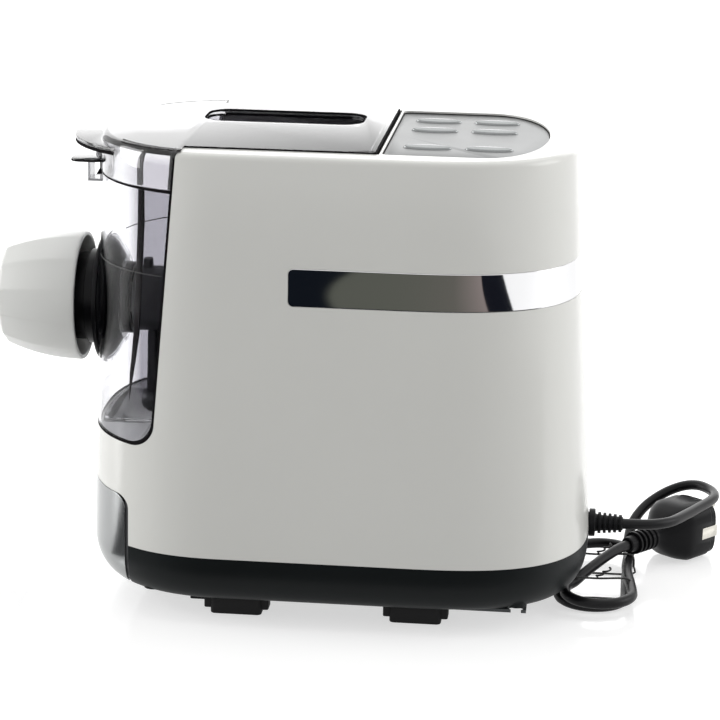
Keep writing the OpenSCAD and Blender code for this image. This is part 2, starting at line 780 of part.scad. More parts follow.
module motor_bushes() {
    color("goldenrod") place() {
        pipe(motor_bush_r, motor_shaft_r + run_gap, motor_x0, motor_x0 + 4, 0, motor_z);
        pipe(motor_bush_r, motor_shaft_r + run_gap, motor_x1 - 4, motor_x1, 0, motor_z);
    }
}
module motor_rotor() {
    x0 = motor_x0 + cap_l;
    color([0.7, 0.71, 0.72]) place() {
        rod(motor_shaft_r, stage1_x - 1, motor_x1 + 16, 0, motor_z);
        rod(motor_r - 15.6, x0, x0 + stator_l, 0, motor_z);
    }
}
module cooling_fan() {
    x0 = motor_x1 + 5;
    blades = 7;
    color([0.2, 0.22, 0.25]) place() difference() {
        union() {
            rod(9, x0, x0 + 9, 0, motor_z);
            for (i = [0 : blades - 1]) translate([0, 0, motor_z]) rotate([360 / blades * i, 0, 0])
                translate([x0 + 4.5, 0, 7]) rotate([0, 0, 35])
                    translate([-5, -0.8, 0]) cube([10, 1.6, 21]);
        }
        rod(motor_shaft_r + 0.02, x0 - 5, x0 + 20, 0, motor_z);
    }
}
module motor_cradle() {
    color([0.18, 0.18, 0.19]) place() difference() {
        for (x = [motor_x0 + 2, motor_x1 - 8]) block(x, x + 6, -30, 30, floor_z + frame_t, motor_z - 8);
        rod(motor_r + 0.1, motor_x0 - 1, motor_x1 + 1, 0, motor_z);
    }
}
// ---- Electrics ----
board_x0 = motor_x0 - 16;
board_x1 = screw_x[1] + 6;
board_y0 = 38;
board_y1 = screw_y - 8;
module power_board() {
    color("darkgreen") place() block(board_x0, board_x1, board_y0, board_y1,
        floor_z + board_stand, floor_z + board_stand + board_t);
}
module board_parts() {
    z = floor_z + board_stand + board_t;
    color([0.25, 0.27, 0.32]) place() translate([board_x0, board_y0, z]) {
        translate([14, 19, 0]) cylinder(r = 9, h = 26);
        block(30, 44, 6, 28, 0, 15);
        block(48, 68, 3, 13, 0, 12);
        translate([56, 22, 0]) cylinder(r = 6, h = 18);
        block(4, 26, 3, 9, 0, 9);
    }
}
module wiring() {
    color([0.3, 0.2, 0.16]) place() {
        tube_along([[bushing_in, 0, cord_z], [bushing_in - 4, 0, cord_z], [134, 5, 43],
            [128, 15, 43], [122, 28, 43], [116, 38, 43.5], [110, 44, 43.5], [102, 46, 43.5]], 2.6, 8);
        tube_along([[82, 60, 44], [84, 62, 60], [86, 66, 90], [86, 70, 130], [85, 72, 170],
            [84, 68, board_z - 55], [82, 60, board_z - 25], [80, 54.6, board_z - 8],
            [80, 54.2, board_z - 0.15]], 2, 8);
    }
}
module interlock_switch() {
    color([0.12, 0.12, 0.13]) place() difference() {
        block(liner_back, frame_x - 0.2, plunger_y - 12, plunger_y + 6, rim_z - 22, rim_z - 3);
        translate([plunger_x, plunger_y, rim_z - 14]) cylinder(r = plunger_r + run_gap, h = 20);
    }
}
plunger_r = 1.6;
module interlock_plunger() {
    color("crimson") place() translate([plunger_x, plunger_y, rim_z - 11])
        cylinder(r = plunger_r, h = 11 + gap - 0.35);
}

// ---- Extruder ----
module extruder_head() {
    color([0.1, 0.1, 0.1]) place() difference() {
        union() {
            intersection() {
                dome(0, dome_x);
                block(flange_x, far, -far, far, 0, far);
            }
            rod(head_tube_r, dome_x - 4, head_end);
            rod(neck_r + 1, flange_x - 7, flange_x + 1);
            rod(neck_r - 1, neck_x0, flange_x);
            for (i = [0 : 5]) rod(neck_r, neck_x0 + 3 + 5 * i, neck_x0 + 5.5 + 5 * i);
            for (a = [15 : 60 : 315]) translate([0, 0, axis_z]) rotate([a, 0, 0])
                block(flange_x - 6, flange_x, -3, 3, neck_r - 2, neck_r + 2.2);
        }
        rod(barrel_r, neck_x0 - 1, head_end + 1);
    }
}
module disc_form(x0, holes) {
    difference() {
        rod(disc_r, x0, x0 + disc_t, 0, 0);
        for (i = [0 : holes - 1]) rotate([360 / holes * i, 0, 0]) rod(3, x0 - 1, x0 + disc_t + 1, 0, 13);
        rod(2.2, x0 - 1, x0 + disc_t + 1, 0, 0);
    }
}
module shaping_disc() {
    color("whitesmoke") place() translate([0, 0, axis_z])
        disc_form(neck_x0 - seat_gap - disc_t, 8);
}
module extruder_nut() {
    color("whitesmoke") place() difference() {
        about_axis() polygon([[0, nut_x0], [nut_front_r - 4, nut_x0], [nut_front_r - 1, nut_x0 + 1],
            [nut_front_r + 0.8, nut_x0 + 4], [nut_front_r + 3.4, nut_x0 + 10],
            [nut_r - 2.6, nut_x0 + 21], [nut_r - 0.8, nut_x0 + 34], [nut_r, nut_x0 + nut_l - 3],
            [nut_r - 0.5, nut_x1], [0, nut_x1]]);
        for (a = [0 : 45 : 315]) translate([0, 0, axis_z]) rotate([a, 0, 0])
            translate([nut_x0 + 3, 0, nut_front_r + 6.6]) rotate([0, 78.5, 0]) translate([0, 0, -12])
                cylinder(r = 6, h = nut_l + 22);
        rod(nut_mouth_r, nut_x0 - 1, nut_x1);
        rod(neck_r + 0.4, nut_x0 + nut_wall, nut_x1 + 1);
        rod(nut_r - 5.5, nut_x1 - 12, nut_x1 + 1);
    }
}
// Helical ribbon about the auger axis
module flight(x0, turns, pitch, r0, r1, t) {
    n = 24;
    steps = turns * n;
    rings = [for (i = [0 : steps]) let (a = 360 * i / n, x = x0 + pitch * i / n,
        c = cos(a), s = sin(a))
        [[x, r1 * c, r1 * s], [x + t, r1 * c, r1 * s], [x + t, r0 * c, r0 * s], [x, r0 * c, r0 * s]]];
    translate([0, 0, axis_z]) skin(rings);
}
module auger() {
    core = 9;
    color([0.16, 0.16, 0.17]) place() {
        rod(core, neck_x0 + 3, hub_x0);
        rod(core - 1, hub_x0 - 1, hub_x0 + 12);
        flight(neck_x0 + 3, 3, auger_pitch, core - 0.6, auger_r, 3);
    }
}
module mixing_paddle() {
    low = axis_z - bar_reach;
    tip = hub_x0;
    color([0.24, 0.24, 0.25]) place() difference() {
        union() {
            rod(hub_r, hub_x0, hub_x1);
            rod(bar_r, tip + bar_r + 2.5, -16, 0, low);
            translate([tip + bar_r + 2.5, 0, low]) sphere(r = bar_r);
            translate([-16, 0, low]) sphere(r = bar_r);
            block(tip + 6, tip + 14, -5, 5, low, axis_z - hub_r + 3);
            block(-32, -22, -5, 5, low, axis_z - hub_r + 3);
            block(-70, -60, -4, 4, axis_z + hub_r - 3, axis_z + hub_r + 26);
            block(tip + 4, tip + 10, -4, 4, axis_z + hub_r - 3, axis_z + hub_r + 5);
        }
        rod(core_socket, hub_x0 - 1, hub_x0 + 12.5);
        rod(shaft_r + 0.04, shaft_x0 - 1, hub_x1 + 1);
        cross_rod(drive_pin_r + 0.05, -14.5, 14.5, hub_x1 - 6, axis_z);
        block(hub_x1 - 6, hub_x1 + 1, -14.5, 14.5, axis_z - drive_pin_r - 0.05,
            axis_z + drive_pin_r + 0.05);
    }
}
core_socket = 8.04;

// ---- Lid ----
module lid_outer(z0, z1) {
    intersection() {
        housing_form();
        across(far) window_side(gap);
        block(-far, edge_at(rim_z) + 20, -far, far, z0, z1);
    }
    strip(lid_half, lid_end, z0, z1);
}
module lid_inner() {
    z0 = rim_z - 5;
    z1 = body_h - lid_t;
    intersection() {
        inner_form(skirt_t, seam_z, z1);
        translate([-skirt_t, 0, 0]) across(far) window_side(gap);
        block(-far, 0, -far, far, z0, z1);
    }
    block(edge_at(rim_z) - 12, lid_end - skirt_t, -lid_half + skirt_t, lid_half - skirt_t, z0, z1);
}
module lid() {
    brim_r = 68.8;
    brim_x = front_at(rim_z) - brim_reach + brim_r;
    slot_at = [-43, 34];
    color([0.82, 0.82, 0.86, 0.4]) place() difference() {
        union() {
            difference() {
                lid_outer(rim_z + gap, body_h);
                lid_inner();
            }
            difference() {
                translate([brim_x, 0, rim_z + 16]) cylinder(r = brim_r, h = 2.5);
                inner_form(1, rim_z, body_h);
            }
            for (s = [-1, 1]) {
                cross_rod(3.4, s * 70 - 6, s * 70 + 6, pivot_x, pivot_z);
                cross_rod(2.5, s * 9.8 - 1.8, s * 9.8 + 1.8, latch_x, latch_z);
                block(latch_x, latch_x + 5, s * 9.8 - 1.8, s * 9.8 + 1.8, latch_z - 2, latch_z + 2);
            }
        }
        translate([slot_at[0], slot_at[1], body_h - 10]) linear_extrude(height = 20)
            stadium_block(slot_l, slot_w, 14);
        cross_rod(pin_r + 0.02, -lid_half - 1, lid_half + 1, pivot_x, pivot_z);
        cross_rod(latch_pin_r + 0.02, -12, 12, latch_x, latch_z);
    }
}
latch_pin_r = 1.2;
module lid_hinge_pins() {
    color("silver") place() for (s = [-1, 1])
        cross_rod(pin_r, s * (lid_half - 1) - 7, s * (lid_half - 1) + 7, pivot_x, pivot_z);
}
module lid_latch() {
    leg = 7;
    plate_z = rim_z + 0.6;
    color([0.82, 0.82, 0.86, 0.4]) place() difference() {
        union() {
            cross_rod(2.5, -leg, leg, latch_x, latch_z);
            block(latch_x - 1.5, latch_x + 1, -leg, leg, plate_z, latch_z);
            translate([latch_x - 8, 0, plate_z]) linear_extrude(height = 1.6)
                stadium_block(20, 30, 6);
            block(latch_x - 8.5, latch_x - 7, -leg, leg, rim_z - 12.5, plate_z + 1);
            block(latch_x - 8.5, latch_x + 0.5, -leg, leg, rim_z - 12.5, rim_z - 11);
            block(latch_x - 1, latch_x + 0.5, -leg, leg, rim_z - 12.5, plate_z + 1);
        }
        cross_rod(latch_pin_r + run_gap, -12, 12, latch_x, latch_z);
    }
}
module latch_pin() {
    color("silver") place() cross_rod(latch_pin_r, -11.4, 11.4, latch_x, latch_z);
}

// ---- Drawer ----
module drawer_form(inset) {
    loft(concat([for (a = [0 : 22.5 : 90])
        [base_z + inset + (base_rz - inset) * (1 - cos(a)),
            inset + (base_rx - inset) * (1 - sin(a))]], [[drawer_top - inset, inset]]));
}
module drawer_front() {
    skin_t = 2.5;
    color([0.62, 0.63, 0.64]) place() difference() {
        intersection() {
            drawer_form(0);
            translate([-drawer_back, 0, 0]) across(far) drawer_side(0);
        }
        intersection() {
            drawer_form(skin_t);
            translate([0, 0, -skin_t]) across(far) drawer_side(0);
        }
    }
}
module drawer_tray() {
    t = 2;
    z0 = floor_z + 0.5;
    color([0.3, 0.31, 0.32]) place() {
        intersection() {
            drawer_form(0.8);
            across(far) drawer_side(0);
            block(tray_x0 - drawer_back, tray_x0, -far, far, 0, far);
        }
        difference() {
            block(tray_x0 - 0.5, tray_x1, -tray_half - t, tray_half + t, z0, drawer_top - 5);
            block(tray_x0, tray_x1 - t, -tray_half, tray_half, z0 + t, drawer_top);
        }
    }
}
module spare_discs() {
    color("whitesmoke") place() for (s = [-1, 1], k = [0, 1])
        translate([tray_x0 + tray_l / 2, s * 31, floor_z + 2.7 + k * (disc_t + 0.2)])
            rotate([0, -90, 0]) disc_form(0, k == 0 ? 6 : 4);
}

// ---- Cord ----
bushing_neck = 6.5;
module cord_bushing() {
    wall_x = tail_at(cord_z);
    core_r = cord_d / 2 + 1.2;
    color([0.06, 0.06, 0.06]) place() {
        rod(bushing_neck, wall_x - wall - 3, wall_x + 0.5, 0, cord_z);
        rod(bushing_neck + 2.5, bushing_in, wall_x - wall - 1.2, 0, cord_z);
        rod(bushing_neck + 2.1, wall_x + 0.1, wall_x + 4, 0, cord_z);
        rod(core_r, wall_x + 3, bushing_end, 0, cord_z);
        for (i = [0 : 4]) rod(core_r + 2.2 - 0.3 * i, wall_x + 5.6 + 3.2 * i,
            wall_x + 7.6 + 3.2 * i, 0, cord_z);
    }
}
module at_tail() {
    place() translate([tail_x - cord_at, 0, 0]) children();
}
module cord_lead() {
    color([0.06, 0.06, 0.06]) at_tail() tube_along(lead_route, cord_d / 2, 10);
}
module cord_tail() {
    color([0.06, 0.06, 0.06]) at_tail() tube_along(tail_route, cord_d / 2, 10);
}
module cord_hank() {
    d = hank_far - hank_near;
    color([0.07, 0.07, 0.07]) at_tail() translate([hank_near[0], hank_near[1], 0])
        rotate(atan2(d[1], d[0])) translate([norm(d) / 2, 0, 0])
            linear_extrude(height = hank_h) stadium(norm(d) + 2 * hank_r, 2 * hank_r);
}
module at_plug() {
    at_tail() translate(plug_at) rotate([0, 0, plug_turn]) children();
}
module plug_body() {
    color([0.06, 0.06, 0.06]) at_plug() difference() {
        union() {
            rotate([0, 90, 0]) rotate_extrude() polygon([[0, 0], [5, 0], [6.6, 26], [9, 30],
                [14, 36], [18.4, 46], [18.4, plug_face], [0, plug_face]]);
            for (i = [0 : 4]) rod(7.2, 6 + 4 * i, 8.2 + 4 * i, 0, 0);
        }
        for (s = [-1, 1]) {
            rod(2.42, plug_face - 12, plug_face + 1, 0, s * 9.5);
            block(plug_face - 15, plug_face + 1, s * 18 - 2, s * 18 + 2, -4, 4);
        }
    }
}
module plug_pins() {
    color("silver") at_plug() for (s = [-1, 1]) rod(2.4, plug_face - 12, plug_face + 19, 0, s * 9.5);
}
module plug_earth_clips() {
    color("silver") at_plug() for (s = [-1, 1])
        block(plug_face - 15, plug_face - 0.2, s * 17 - 1, s * 17 + 1, -3.8, 3.8);
}
module cord_ties() {
    d = hank_far - hank_near;
    r = 1.2;
    color([0.05, 0.05, 0.05]) at_tail() translate([hank_near[0], hank_near[1], 0])
        rotate(atan2(d[1], d[0])) for (x = [norm(d) * 0.12, norm(d) * 0.75])
            difference() {
                block(x - 2, x + 2, -hank_r - r, hank_r + r, 0.2, hank_h + r);
                block(x - 3, x + 3, -hank_r, hank_r, -1, hank_h);
            }
}

body_shell();
base_tray();
bottom_plate();
feet();
base_screws();
trim_band();
panel_plate();
panel_board();
tact_switches();
bay_liner();
chassis_frame();
gearbox_case();
gearbox_cover();
shaft_bushes();
motor_stator();
motor_coils();
motor_end_caps();
motor_bushes();
motor_cradle();
power_board();
board_parts();
wiring();
interlock_switch();
mixing_chamber();
shaft_seal();
extruder_head();
shaping_disc();
cord_bushing();
cord_lead();
cord_hank();
cord_tail();
plug_body();
plug_pins();
plug_earth_clips();
cord_ties();
lid();
lid_hinge_pins();
lid_latch();
latch_pin();
drawer_front();
drawer_tray();
spare_discs();
extruder_nut();
button_1();
button_2();
button_3();
button_4();
button_5();
button_6();
auger();
mixing_paddle();
drive_pin();
output_shaft();
output_gear();
idler_gear();
idler_axle();
motor_rotor();
motor_pinion();
cooling_fan();
interlock_plunger();
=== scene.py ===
# Electric pasta maker: the looks of each piece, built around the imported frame.
import math

import bmesh
import bpy
import numpy as np
from mathutils import Matrix, Vector


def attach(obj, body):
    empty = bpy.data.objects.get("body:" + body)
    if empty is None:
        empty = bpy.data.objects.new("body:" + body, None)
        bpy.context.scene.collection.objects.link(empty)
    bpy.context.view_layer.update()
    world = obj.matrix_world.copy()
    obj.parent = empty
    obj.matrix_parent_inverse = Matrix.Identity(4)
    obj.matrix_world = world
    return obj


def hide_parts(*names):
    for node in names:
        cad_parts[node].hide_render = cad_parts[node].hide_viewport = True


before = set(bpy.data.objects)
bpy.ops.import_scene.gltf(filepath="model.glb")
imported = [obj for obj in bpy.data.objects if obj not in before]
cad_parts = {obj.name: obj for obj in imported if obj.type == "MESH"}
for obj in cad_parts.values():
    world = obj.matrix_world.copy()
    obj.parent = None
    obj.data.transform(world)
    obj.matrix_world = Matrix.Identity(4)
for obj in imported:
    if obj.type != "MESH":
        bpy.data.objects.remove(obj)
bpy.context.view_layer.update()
scene = bpy.context.scene

# ---- Table, light and camera ----
# A glossy white worktop under soft lamps, seen from the machine's left-hand side
# and a little from above, with the nut on the left.
scene.view_settings.view_transform = "Standard"


def put(name, data):
    """A new object in the scene."""
    made = bpy.data.objects.new(name, data)
    scene.collection.objects.link(made)
    return made


azimuth, elevation, roll = math.radians(5.58), math.radians(14.8), math.radians(1.06)
AIM, DISTANCE = Vector((0.03786, 0, 0.14062)), 1.6
back = Vector((math.sin(azimuth) * math.cos(elevation),
               -math.cos(azimuth) * math.cos(elevation), math.sin(elevation)))
right = Vector((math.cos(azimuth), math.sin(azimuth), 0))
up = back.cross(right)
across = right * math.cos(roll) + up * math.sin(roll)
upward = up * math.cos(roll) - right * math.sin(roll)
eye = bpy.data.cameras.new("eye")
eye.lens = 130.365
eye.sensor_width = 36
eye.clip_start = 0.05
camera = put("camera", eye)
camera.matrix_world = (Matrix.Translation(AIM + DISTANCE * back)
                       @ Matrix((across, upward, back)).transposed().to_4x4())
scene.camera = camera


def node(tree, kind, values=None, **settings):
    """A new node with its settings, and with values for its inputs."""
    made = tree.nodes.new(kind)
    for key, value in settings.items():
        setattr(made, key, value)
    for key, value in (values or {}).items():
        made.inputs[key].default_value = value
    return made


def join(tree, *links):
    """Links a node's output to another's input, for each (source, output, target, input)."""
    for source, outlet, target, inlet in links:
        tree.links.new(source.outputs[outlet], target.inputs[inlet])


def larger(tree, first, second):
    """The larger of two values, such as two kinds of ray."""
    made = node(tree, "ShaderNodeMath", operation="MAXIMUM")
    tree.links.new(first, made.inputs[0])
    tree.links.new(second, made.inputs[1])
    return made.outputs[0]


# The room is white to the eye, through clear pieces and in reflections, and half as bright
# as a light
world = bpy.data.worlds.new("studio")
world.use_nodes = True
scene.world = world
tree = world.node_tree
sky = tree.nodes["Background"]
sky.inputs["Color"].default_value = (1, 1, 1, 1)
seen = node(tree, "ShaderNodeLightPath").outputs
direct = larger(tree, seen["Is Camera Ray"], seen["Is Transmission Ray"])
level = node(tree, "ShaderNodeMapRange", {"To Min": 0.5})
tree.links.new(larger(tree, direct, seen["Is Glossy Ray"]), level.inputs["Value"])
join(tree, (level, 0, sky, "Strength"))


def lamp(name, place, towards, width, height, power):
    """A soft rectangular lamp, with its sizes and places in metres."""
    light = bpy.data.lights.new(name, "AREA")
    light.shape = "RECTANGLE"
    light.size, light.size_y, light.energy = width, height, power
    made, place = put(name, light), Vector(place)
    made.matrix_world = (Matrix.Translation(place)
                         @ (place - Vector(towards)).to_track_quat("Z", "Y").to_matrix().to_4x4())
    return made


lamp("overhead_lamp", (0.05, 0.35, 1.5), (0.0, 0.0, 0.2), 1.8, 1.4, 8)
lamp("rear_lamp", (1.5, 0.1, 0.75), (0.0, 0.0, 0.15), 1.0, 1.0, 7)
lamp("nose_lamp", (-1.6, 0.0, 0.55), (0.0, 0.0, 0.15), 0.9, 1.0, 13)
# Bright backdrop that the glossy tops mirror, and that lights nothing else
backdrop = lamp("backdrop", (0.0, 2.5, 0.87), (0.0, 0.0, 0.2), 3.2, 1.7, 19)
for ray in ("visible_diffuse", "visible_camera", "visible_transmission"):
    setattr(backdrop, ray, False)


def blank(name, values):
    """A new material, its node tree and its shader, with values for the shader's inputs."""
    made = bpy.data.materials.new(name)
    made.use_nodes = True
    shader = made.node_tree.nodes["Principled BSDF"]
    for key, value in values.items():
        shader.inputs[key].default_value = value
    return made, made.node_tree, shader


def sheet(name, corners, z, material):
    """A flat piece of the set, in metres."""
    mesh = bpy.data.meshes.new(name)
    mesh.from_pydata([(x, y, z) for x, y in corners], [], [tuple(range(len(corners)))])
    mesh.materials.append(material)
    made = put(name, mesh)
    return made


# The table glows a little, most to the eye, so that its white joins the room's
worktop, tree, top = blank("table_top", {"Base Color": (0.62, 0.62, 0.62, 1), "Roughness": 0.12,
                                         "Emission Color": (1, 1, 1, 1)})
seen = node(tree, "ShaderNodeLightPath").outputs
direct = larger(tree, seen["Is Camera Ray"], seen["Is Transmission Ray"])
half = node(tree, "ShaderNodeMath", {1: 0.5}, operation="MULTIPLY")
tree.links.new(seen["Is Glossy Ray"], half.inputs[0])
bright = node(tree, "ShaderNodeMapRange", {"To Min": 0.24, "To Max": 0.6})
tree.links.new(larger(tree, direct, half.outputs[0]), bright.inputs["Value"])
join(tree, (bright, 0, top, "Emission Strength"))
sheet("table", [(-4, -4), (4, -4), (4, 4), (-4, 4)], 0, worktop)

# Toned floor card that only the glossy finishes see, as a studio's flags: black, grey, warm
# grey and a black stripe from left to right, with bowed edges
card, tree, shade = blank("floor_card", {"Base Color": (0, 0, 0, 1), "Roughness": 1,
                                         "Specular IOR Level": 0, "Emission Strength": 1})
where, parts = node(tree, "ShaderNodeTexCoord"), node(tree, "ShaderNodeSeparateXYZ")
shift = node(tree, "ShaderNodeMath", {1: 1.065}, operation="ADD")
square = node(tree, "ShaderNodeMath", {1: 2}, operation="POWER")
bow = node(tree, "ShaderNodeMath", {1: -1.7}, operation="MULTIPLY_ADD")
place = node(tree, "ShaderNodeMapRange", {"From Min": -0.2, "From Max": 1.0})
tones = node(tree, "ShaderNodeValToRGB")
stops = tones.color_ramp.elements
for spot, tone in ((0.1, (0.006, 0.008, 0.012)), (0.106, (0.105, 0.11, 0.092)), (0.4, (0.13, 0.125, 0.11)),
                   (0.66, (0.26, 0.22, 0.21)), (0.672, (0.008, 0.009, 0.014))):
    stops.new(spot).color = list(tone) + [1]
stops.remove(stops[-1])
stops[0].color = (0.006, 0.008, 0.012, 1)
join(tree, (where, "Object", parts, 0), (parts, "Y", shift, 0), (shift, 0, square, 0),
     (square, 0, bow, 0), (parts, "X", bow, 2), (bow, 0, place, "Value"), (place, 0, tones, "Fac"),
     (tones, "Color", shade, "Emission Color"))
screen = sheet("floor_card", [(-0.9, -2.4), (0.955, -2.4), (0.955, -0.14), (-0.16, -0.14),
                              (-0.16, -0.04), (-0.9, -0.04)], 0.005, card)
for ray in ("visible_camera", "visible_diffuse", "visible_transmission", "visible_shadow"):
    setattr(screen, ray, False)

# ---- Housing shell ----
# One gloss white moulding, 3 mm thick, with a well under the lid, an opening for the
# clear chamber at the nose, one for the drawer, and a seat for the control panel.
MID = 29.25  # the machine's origin lies this far in front of the middle of the body
BODY_L, BODY_W, BODY_H, SEAM = 305.0, 200.0, 283.0, 42.0
NOSE_L, TAIL_L = 91.0, 112.0  # length of the rounded nose and tail
NOSE_N, TAIL_N = 2.4, 2.9  # how square they are
NOSE_LEAN, TAIL_LEAN, SIDES_LEAN = 5.5, 14.0, 6.3  # what the walls lean in, from seam to top
WALL, DECK, EDGE = 3.0, 6.0, 4.0  # thickness of the wall and the deck, radius of the top edge
GAP = 0.4  # between pieces that part or move
AXIS = 174.5  # height of the mixer and the nut
CORD_Z, CORD_BORE = 43.5, 6.6  # height of the lead, radius of the hole for its bushing
HINGE_X, HINGE_Z = 19.5, 279.3  # the lid's hinge
SCREW_X, SCREW_Y = (-106.0, 112.0), 76.0  # the base screws
BAY = 78.0  # half the width of the lid's strip in the bay
FAR = 400.0  # beyond the machine on every side


def in_frame(points):
    """Millimetres from the middle of the body to metres in the machine's frame."""
    points = np.asarray(points, float)
    return (points + np.array([MID, 0, 0])) / 1000


def even_angles(power, half, length, count):
    """Angles that divide a superelliptic quarter into equal lengths."""
    a = np.linspace(0, math.pi / 2, 2000)
    x, y = length * (1 - np.cos(a) ** (2 / power)), half * np.sin(a) ** (2 / power)
    run = np.r_[0, np.cumsum(np.hypot(np.diff(x), np.diff(y)))]
    return np.interp(np.linspace(0, run[-1], count), run, a)


NOSE = even_angles(NOSE_N, BODY_W / 2, NOSE_L, 44)
TAIL = math.pi / 2 - even_angles(TAIL_N, BODY_W / 2, TAIL_L, 50)[::-1]


def lean(z):
    """Share of the walls' lean at a height."""
    return max(0.0, (z - SEAM) / (BODY_H - SEAM))


def front_at(z):
    """Where the nose begins at a height."""
    return -BODY_L / 2 + NOSE_LEAN * lean(z)


def tail_at(z):
    """Where the tail ends at a height."""
    return BODY_L / 2 - TAIL_LEAN * lean(z)


def half_width(z, inset):
    """Half the body's width at a height, less an inset."""
    return (BODY_W - SIDES_LEAN * lean(z)) / BODY_W * (BODY_W / 2 - inset)


def tail_point(a, z, inset):
    """A point of the tail's curve, from an angle of 0 at the side to a quarter turn at the rear."""
    tail = (BODY_W - SIDES_LEAN * lean(z)) / BODY_W * (TAIL_L - inset)
    return (tail_at(z) - inset - tail * (1 - math.sin(a) ** (2 / TAIL_N)),
            half_width(z, inset) * max(math.cos(a), 0) ** (2 / TAIL_N))


def outline(z, inset):
    """The body's plan at a height: superelliptic nose, straight sides, superelliptic tail."""
    half, nose = half_width(z, inset), (BODY_W - SIDES_LEAN * lean(z)) / BODY_W * (NOSE_L - inset)
    front = [(front_at(z) + inset + nose * (1 - max(math.cos(a), 0) ** (2 / NOSE_N)),
              half * math.sin(a) ** (2 / NOSE_N)) for a in NOSE]
    rear = sorted(tail_point(a, z, inset) for a in TAIL)
    sides = [(front[-1][0] + (rear[0][0] - front[-1][0]) * t, half)
             for t in np.linspace(0, 1, 8)[1:-1]]
    line = front + sides + rear
    return line + [(x, -y) for x, y in line[-2:0:-1]]


def solid(points, faces):
    """A closed mesh from points in millimetres, with its faces turned outwards."""
    mesh = bpy.data.meshes.new("form")
    mesh.from_pydata([tuple(p) for p in in_frame(points)], [], faces)
    work = bmesh.new()
    work.from_mesh(mesh)
    bmesh.ops.recalc_face_normals(work, faces=work.faces)
    work.to_mesh(mesh)
    work.free()
    return put("form", mesh)


def skin(rings):
    """A closed skin through rings of equally many points."""
    n, m = len(rings[0]), len(rings)
    walls = [(k * n + i, k * n + (i + 1) % n, (k + 1) * n + (i + 1) % n, (k + 1) * n + i)
             for k in range(m - 1) for i in range(n)]
    caps = [tuple(range(n - 1, -1, -1)), tuple((m - 1) * n + i for i in range(n))]
    return solid(np.vstack(rings), walls + caps)


def loft(levels):
    """The body's outline drawn through levels of (height, inset)."""
    return skin([np.array([(x, y, z) for x, y in outline(z, inset)]) for z, inset in levels])


def prism(side, low, high, axis):
    """A flat outline drawn through a thickness. The outline is (x, z) for axis 1, else (x, y)."""
    order = [0, 2, 1] if axis == 1 else [0, 1, 2]
    side = np.asarray(side, float)
    return skin([np.c_[side, np.full(len(side), level)][:, order] for level in (low, high)])


def through(side):
    """A side view drawn through the whole width of the machine."""
    return prism(side, -FAR, FAR, 1)


def block(x0, x1, y0, y1, z0, z1):
    """A box."""
    return prism([(x0, y0), (x1, y0), (x1, y1), (x0, y1)], z0, z1, 2)


def ring(radius, count=96, at=(0, 0)):
    """Points of a circle."""
    a = np.linspace(0, 2 * math.pi, count, endpoint=False)
    return np.c_[at[0] + radius * np.cos(a), at[1] + radius * np.sin(a)]


def rod(radius, x0, x1, y=0.0, z=AXIS, count=96):
    """A round bar along the machine."""
    circle = ring(radius, count)
    return skin([np.c_[np.full(count, x), y + circle[:, 0], z + circle[:, 1]] for x in (x0, x1)])


def cross_rod(radius, y0, y1, x, z):
    """A round bar across the machine."""
    circle = ring(radius, 48)
    return skin([np.c_[x + circle[:, 0], np.full(48, y), z + circle[:, 1]] for y in (y0, y1)])


def upright(radius, x, y, z0, z1, count=48):
    """A standing round bar."""
    return prism(ring(radius, count, (x, y)), z0, z1, 2)


def baked(made):
    """The object with its modifiers worked into its mesh."""
    bpy.context.view_layer.update()
    mesh = bpy.data.meshes.new_from_object(made.evaluated_get(bpy.context.evaluated_depsgraph_get()))
    made.modifiers.clear()
    made.data = mesh
    return made


def work_on(made, how, *tools):
    """Cuts tools out of a form, adds them to it or keeps what they share, and drops the tools."""
    for tool in tools:
        step = made.modifiers.new("work", "BOOLEAN")
        step.solver = "MANIFOLD"
        step.operation = how
        step.object = tool
    baked(made)
    for tool in tools:
        bpy.data.objects.remove(tool)
    return made


def cut(made, *tools):
    return work_on(made, "DIFFERENCE", *tools)


def add(made, *tools):
    return work_on(made, "UNION", *tools)


def keep(made, *tools):
    return work_on(made, "INTERSECT", *tools)


def finish(made, name, body, finish_slot, material, *nodes, angle=26):
    """Smooth shading with crisp corners, then the piece's material, body and node. finish_slot is not used.
    """
    made.name = made.data.name = name
    made.data.shade_smooth()
    made.data.set_sharp_from_angle(angle=math.radians(angle))
    made.data.materials.clear()
    made.data.materials.append(material)
    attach(made, body)
    if nodes:
        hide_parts(*nodes)
    return made


def two_tones(tree, first, second):
    """A ramp between two colours, through the middle of the noise."""
    tint = node(tree, "ShaderNodeValToRGB")
    low, high = tint.color_ramp.elements
    low.position, high.position = 0.3, 0.7
    low.color, high.color = list(first) + [1], list(second) + [1]
    return tint


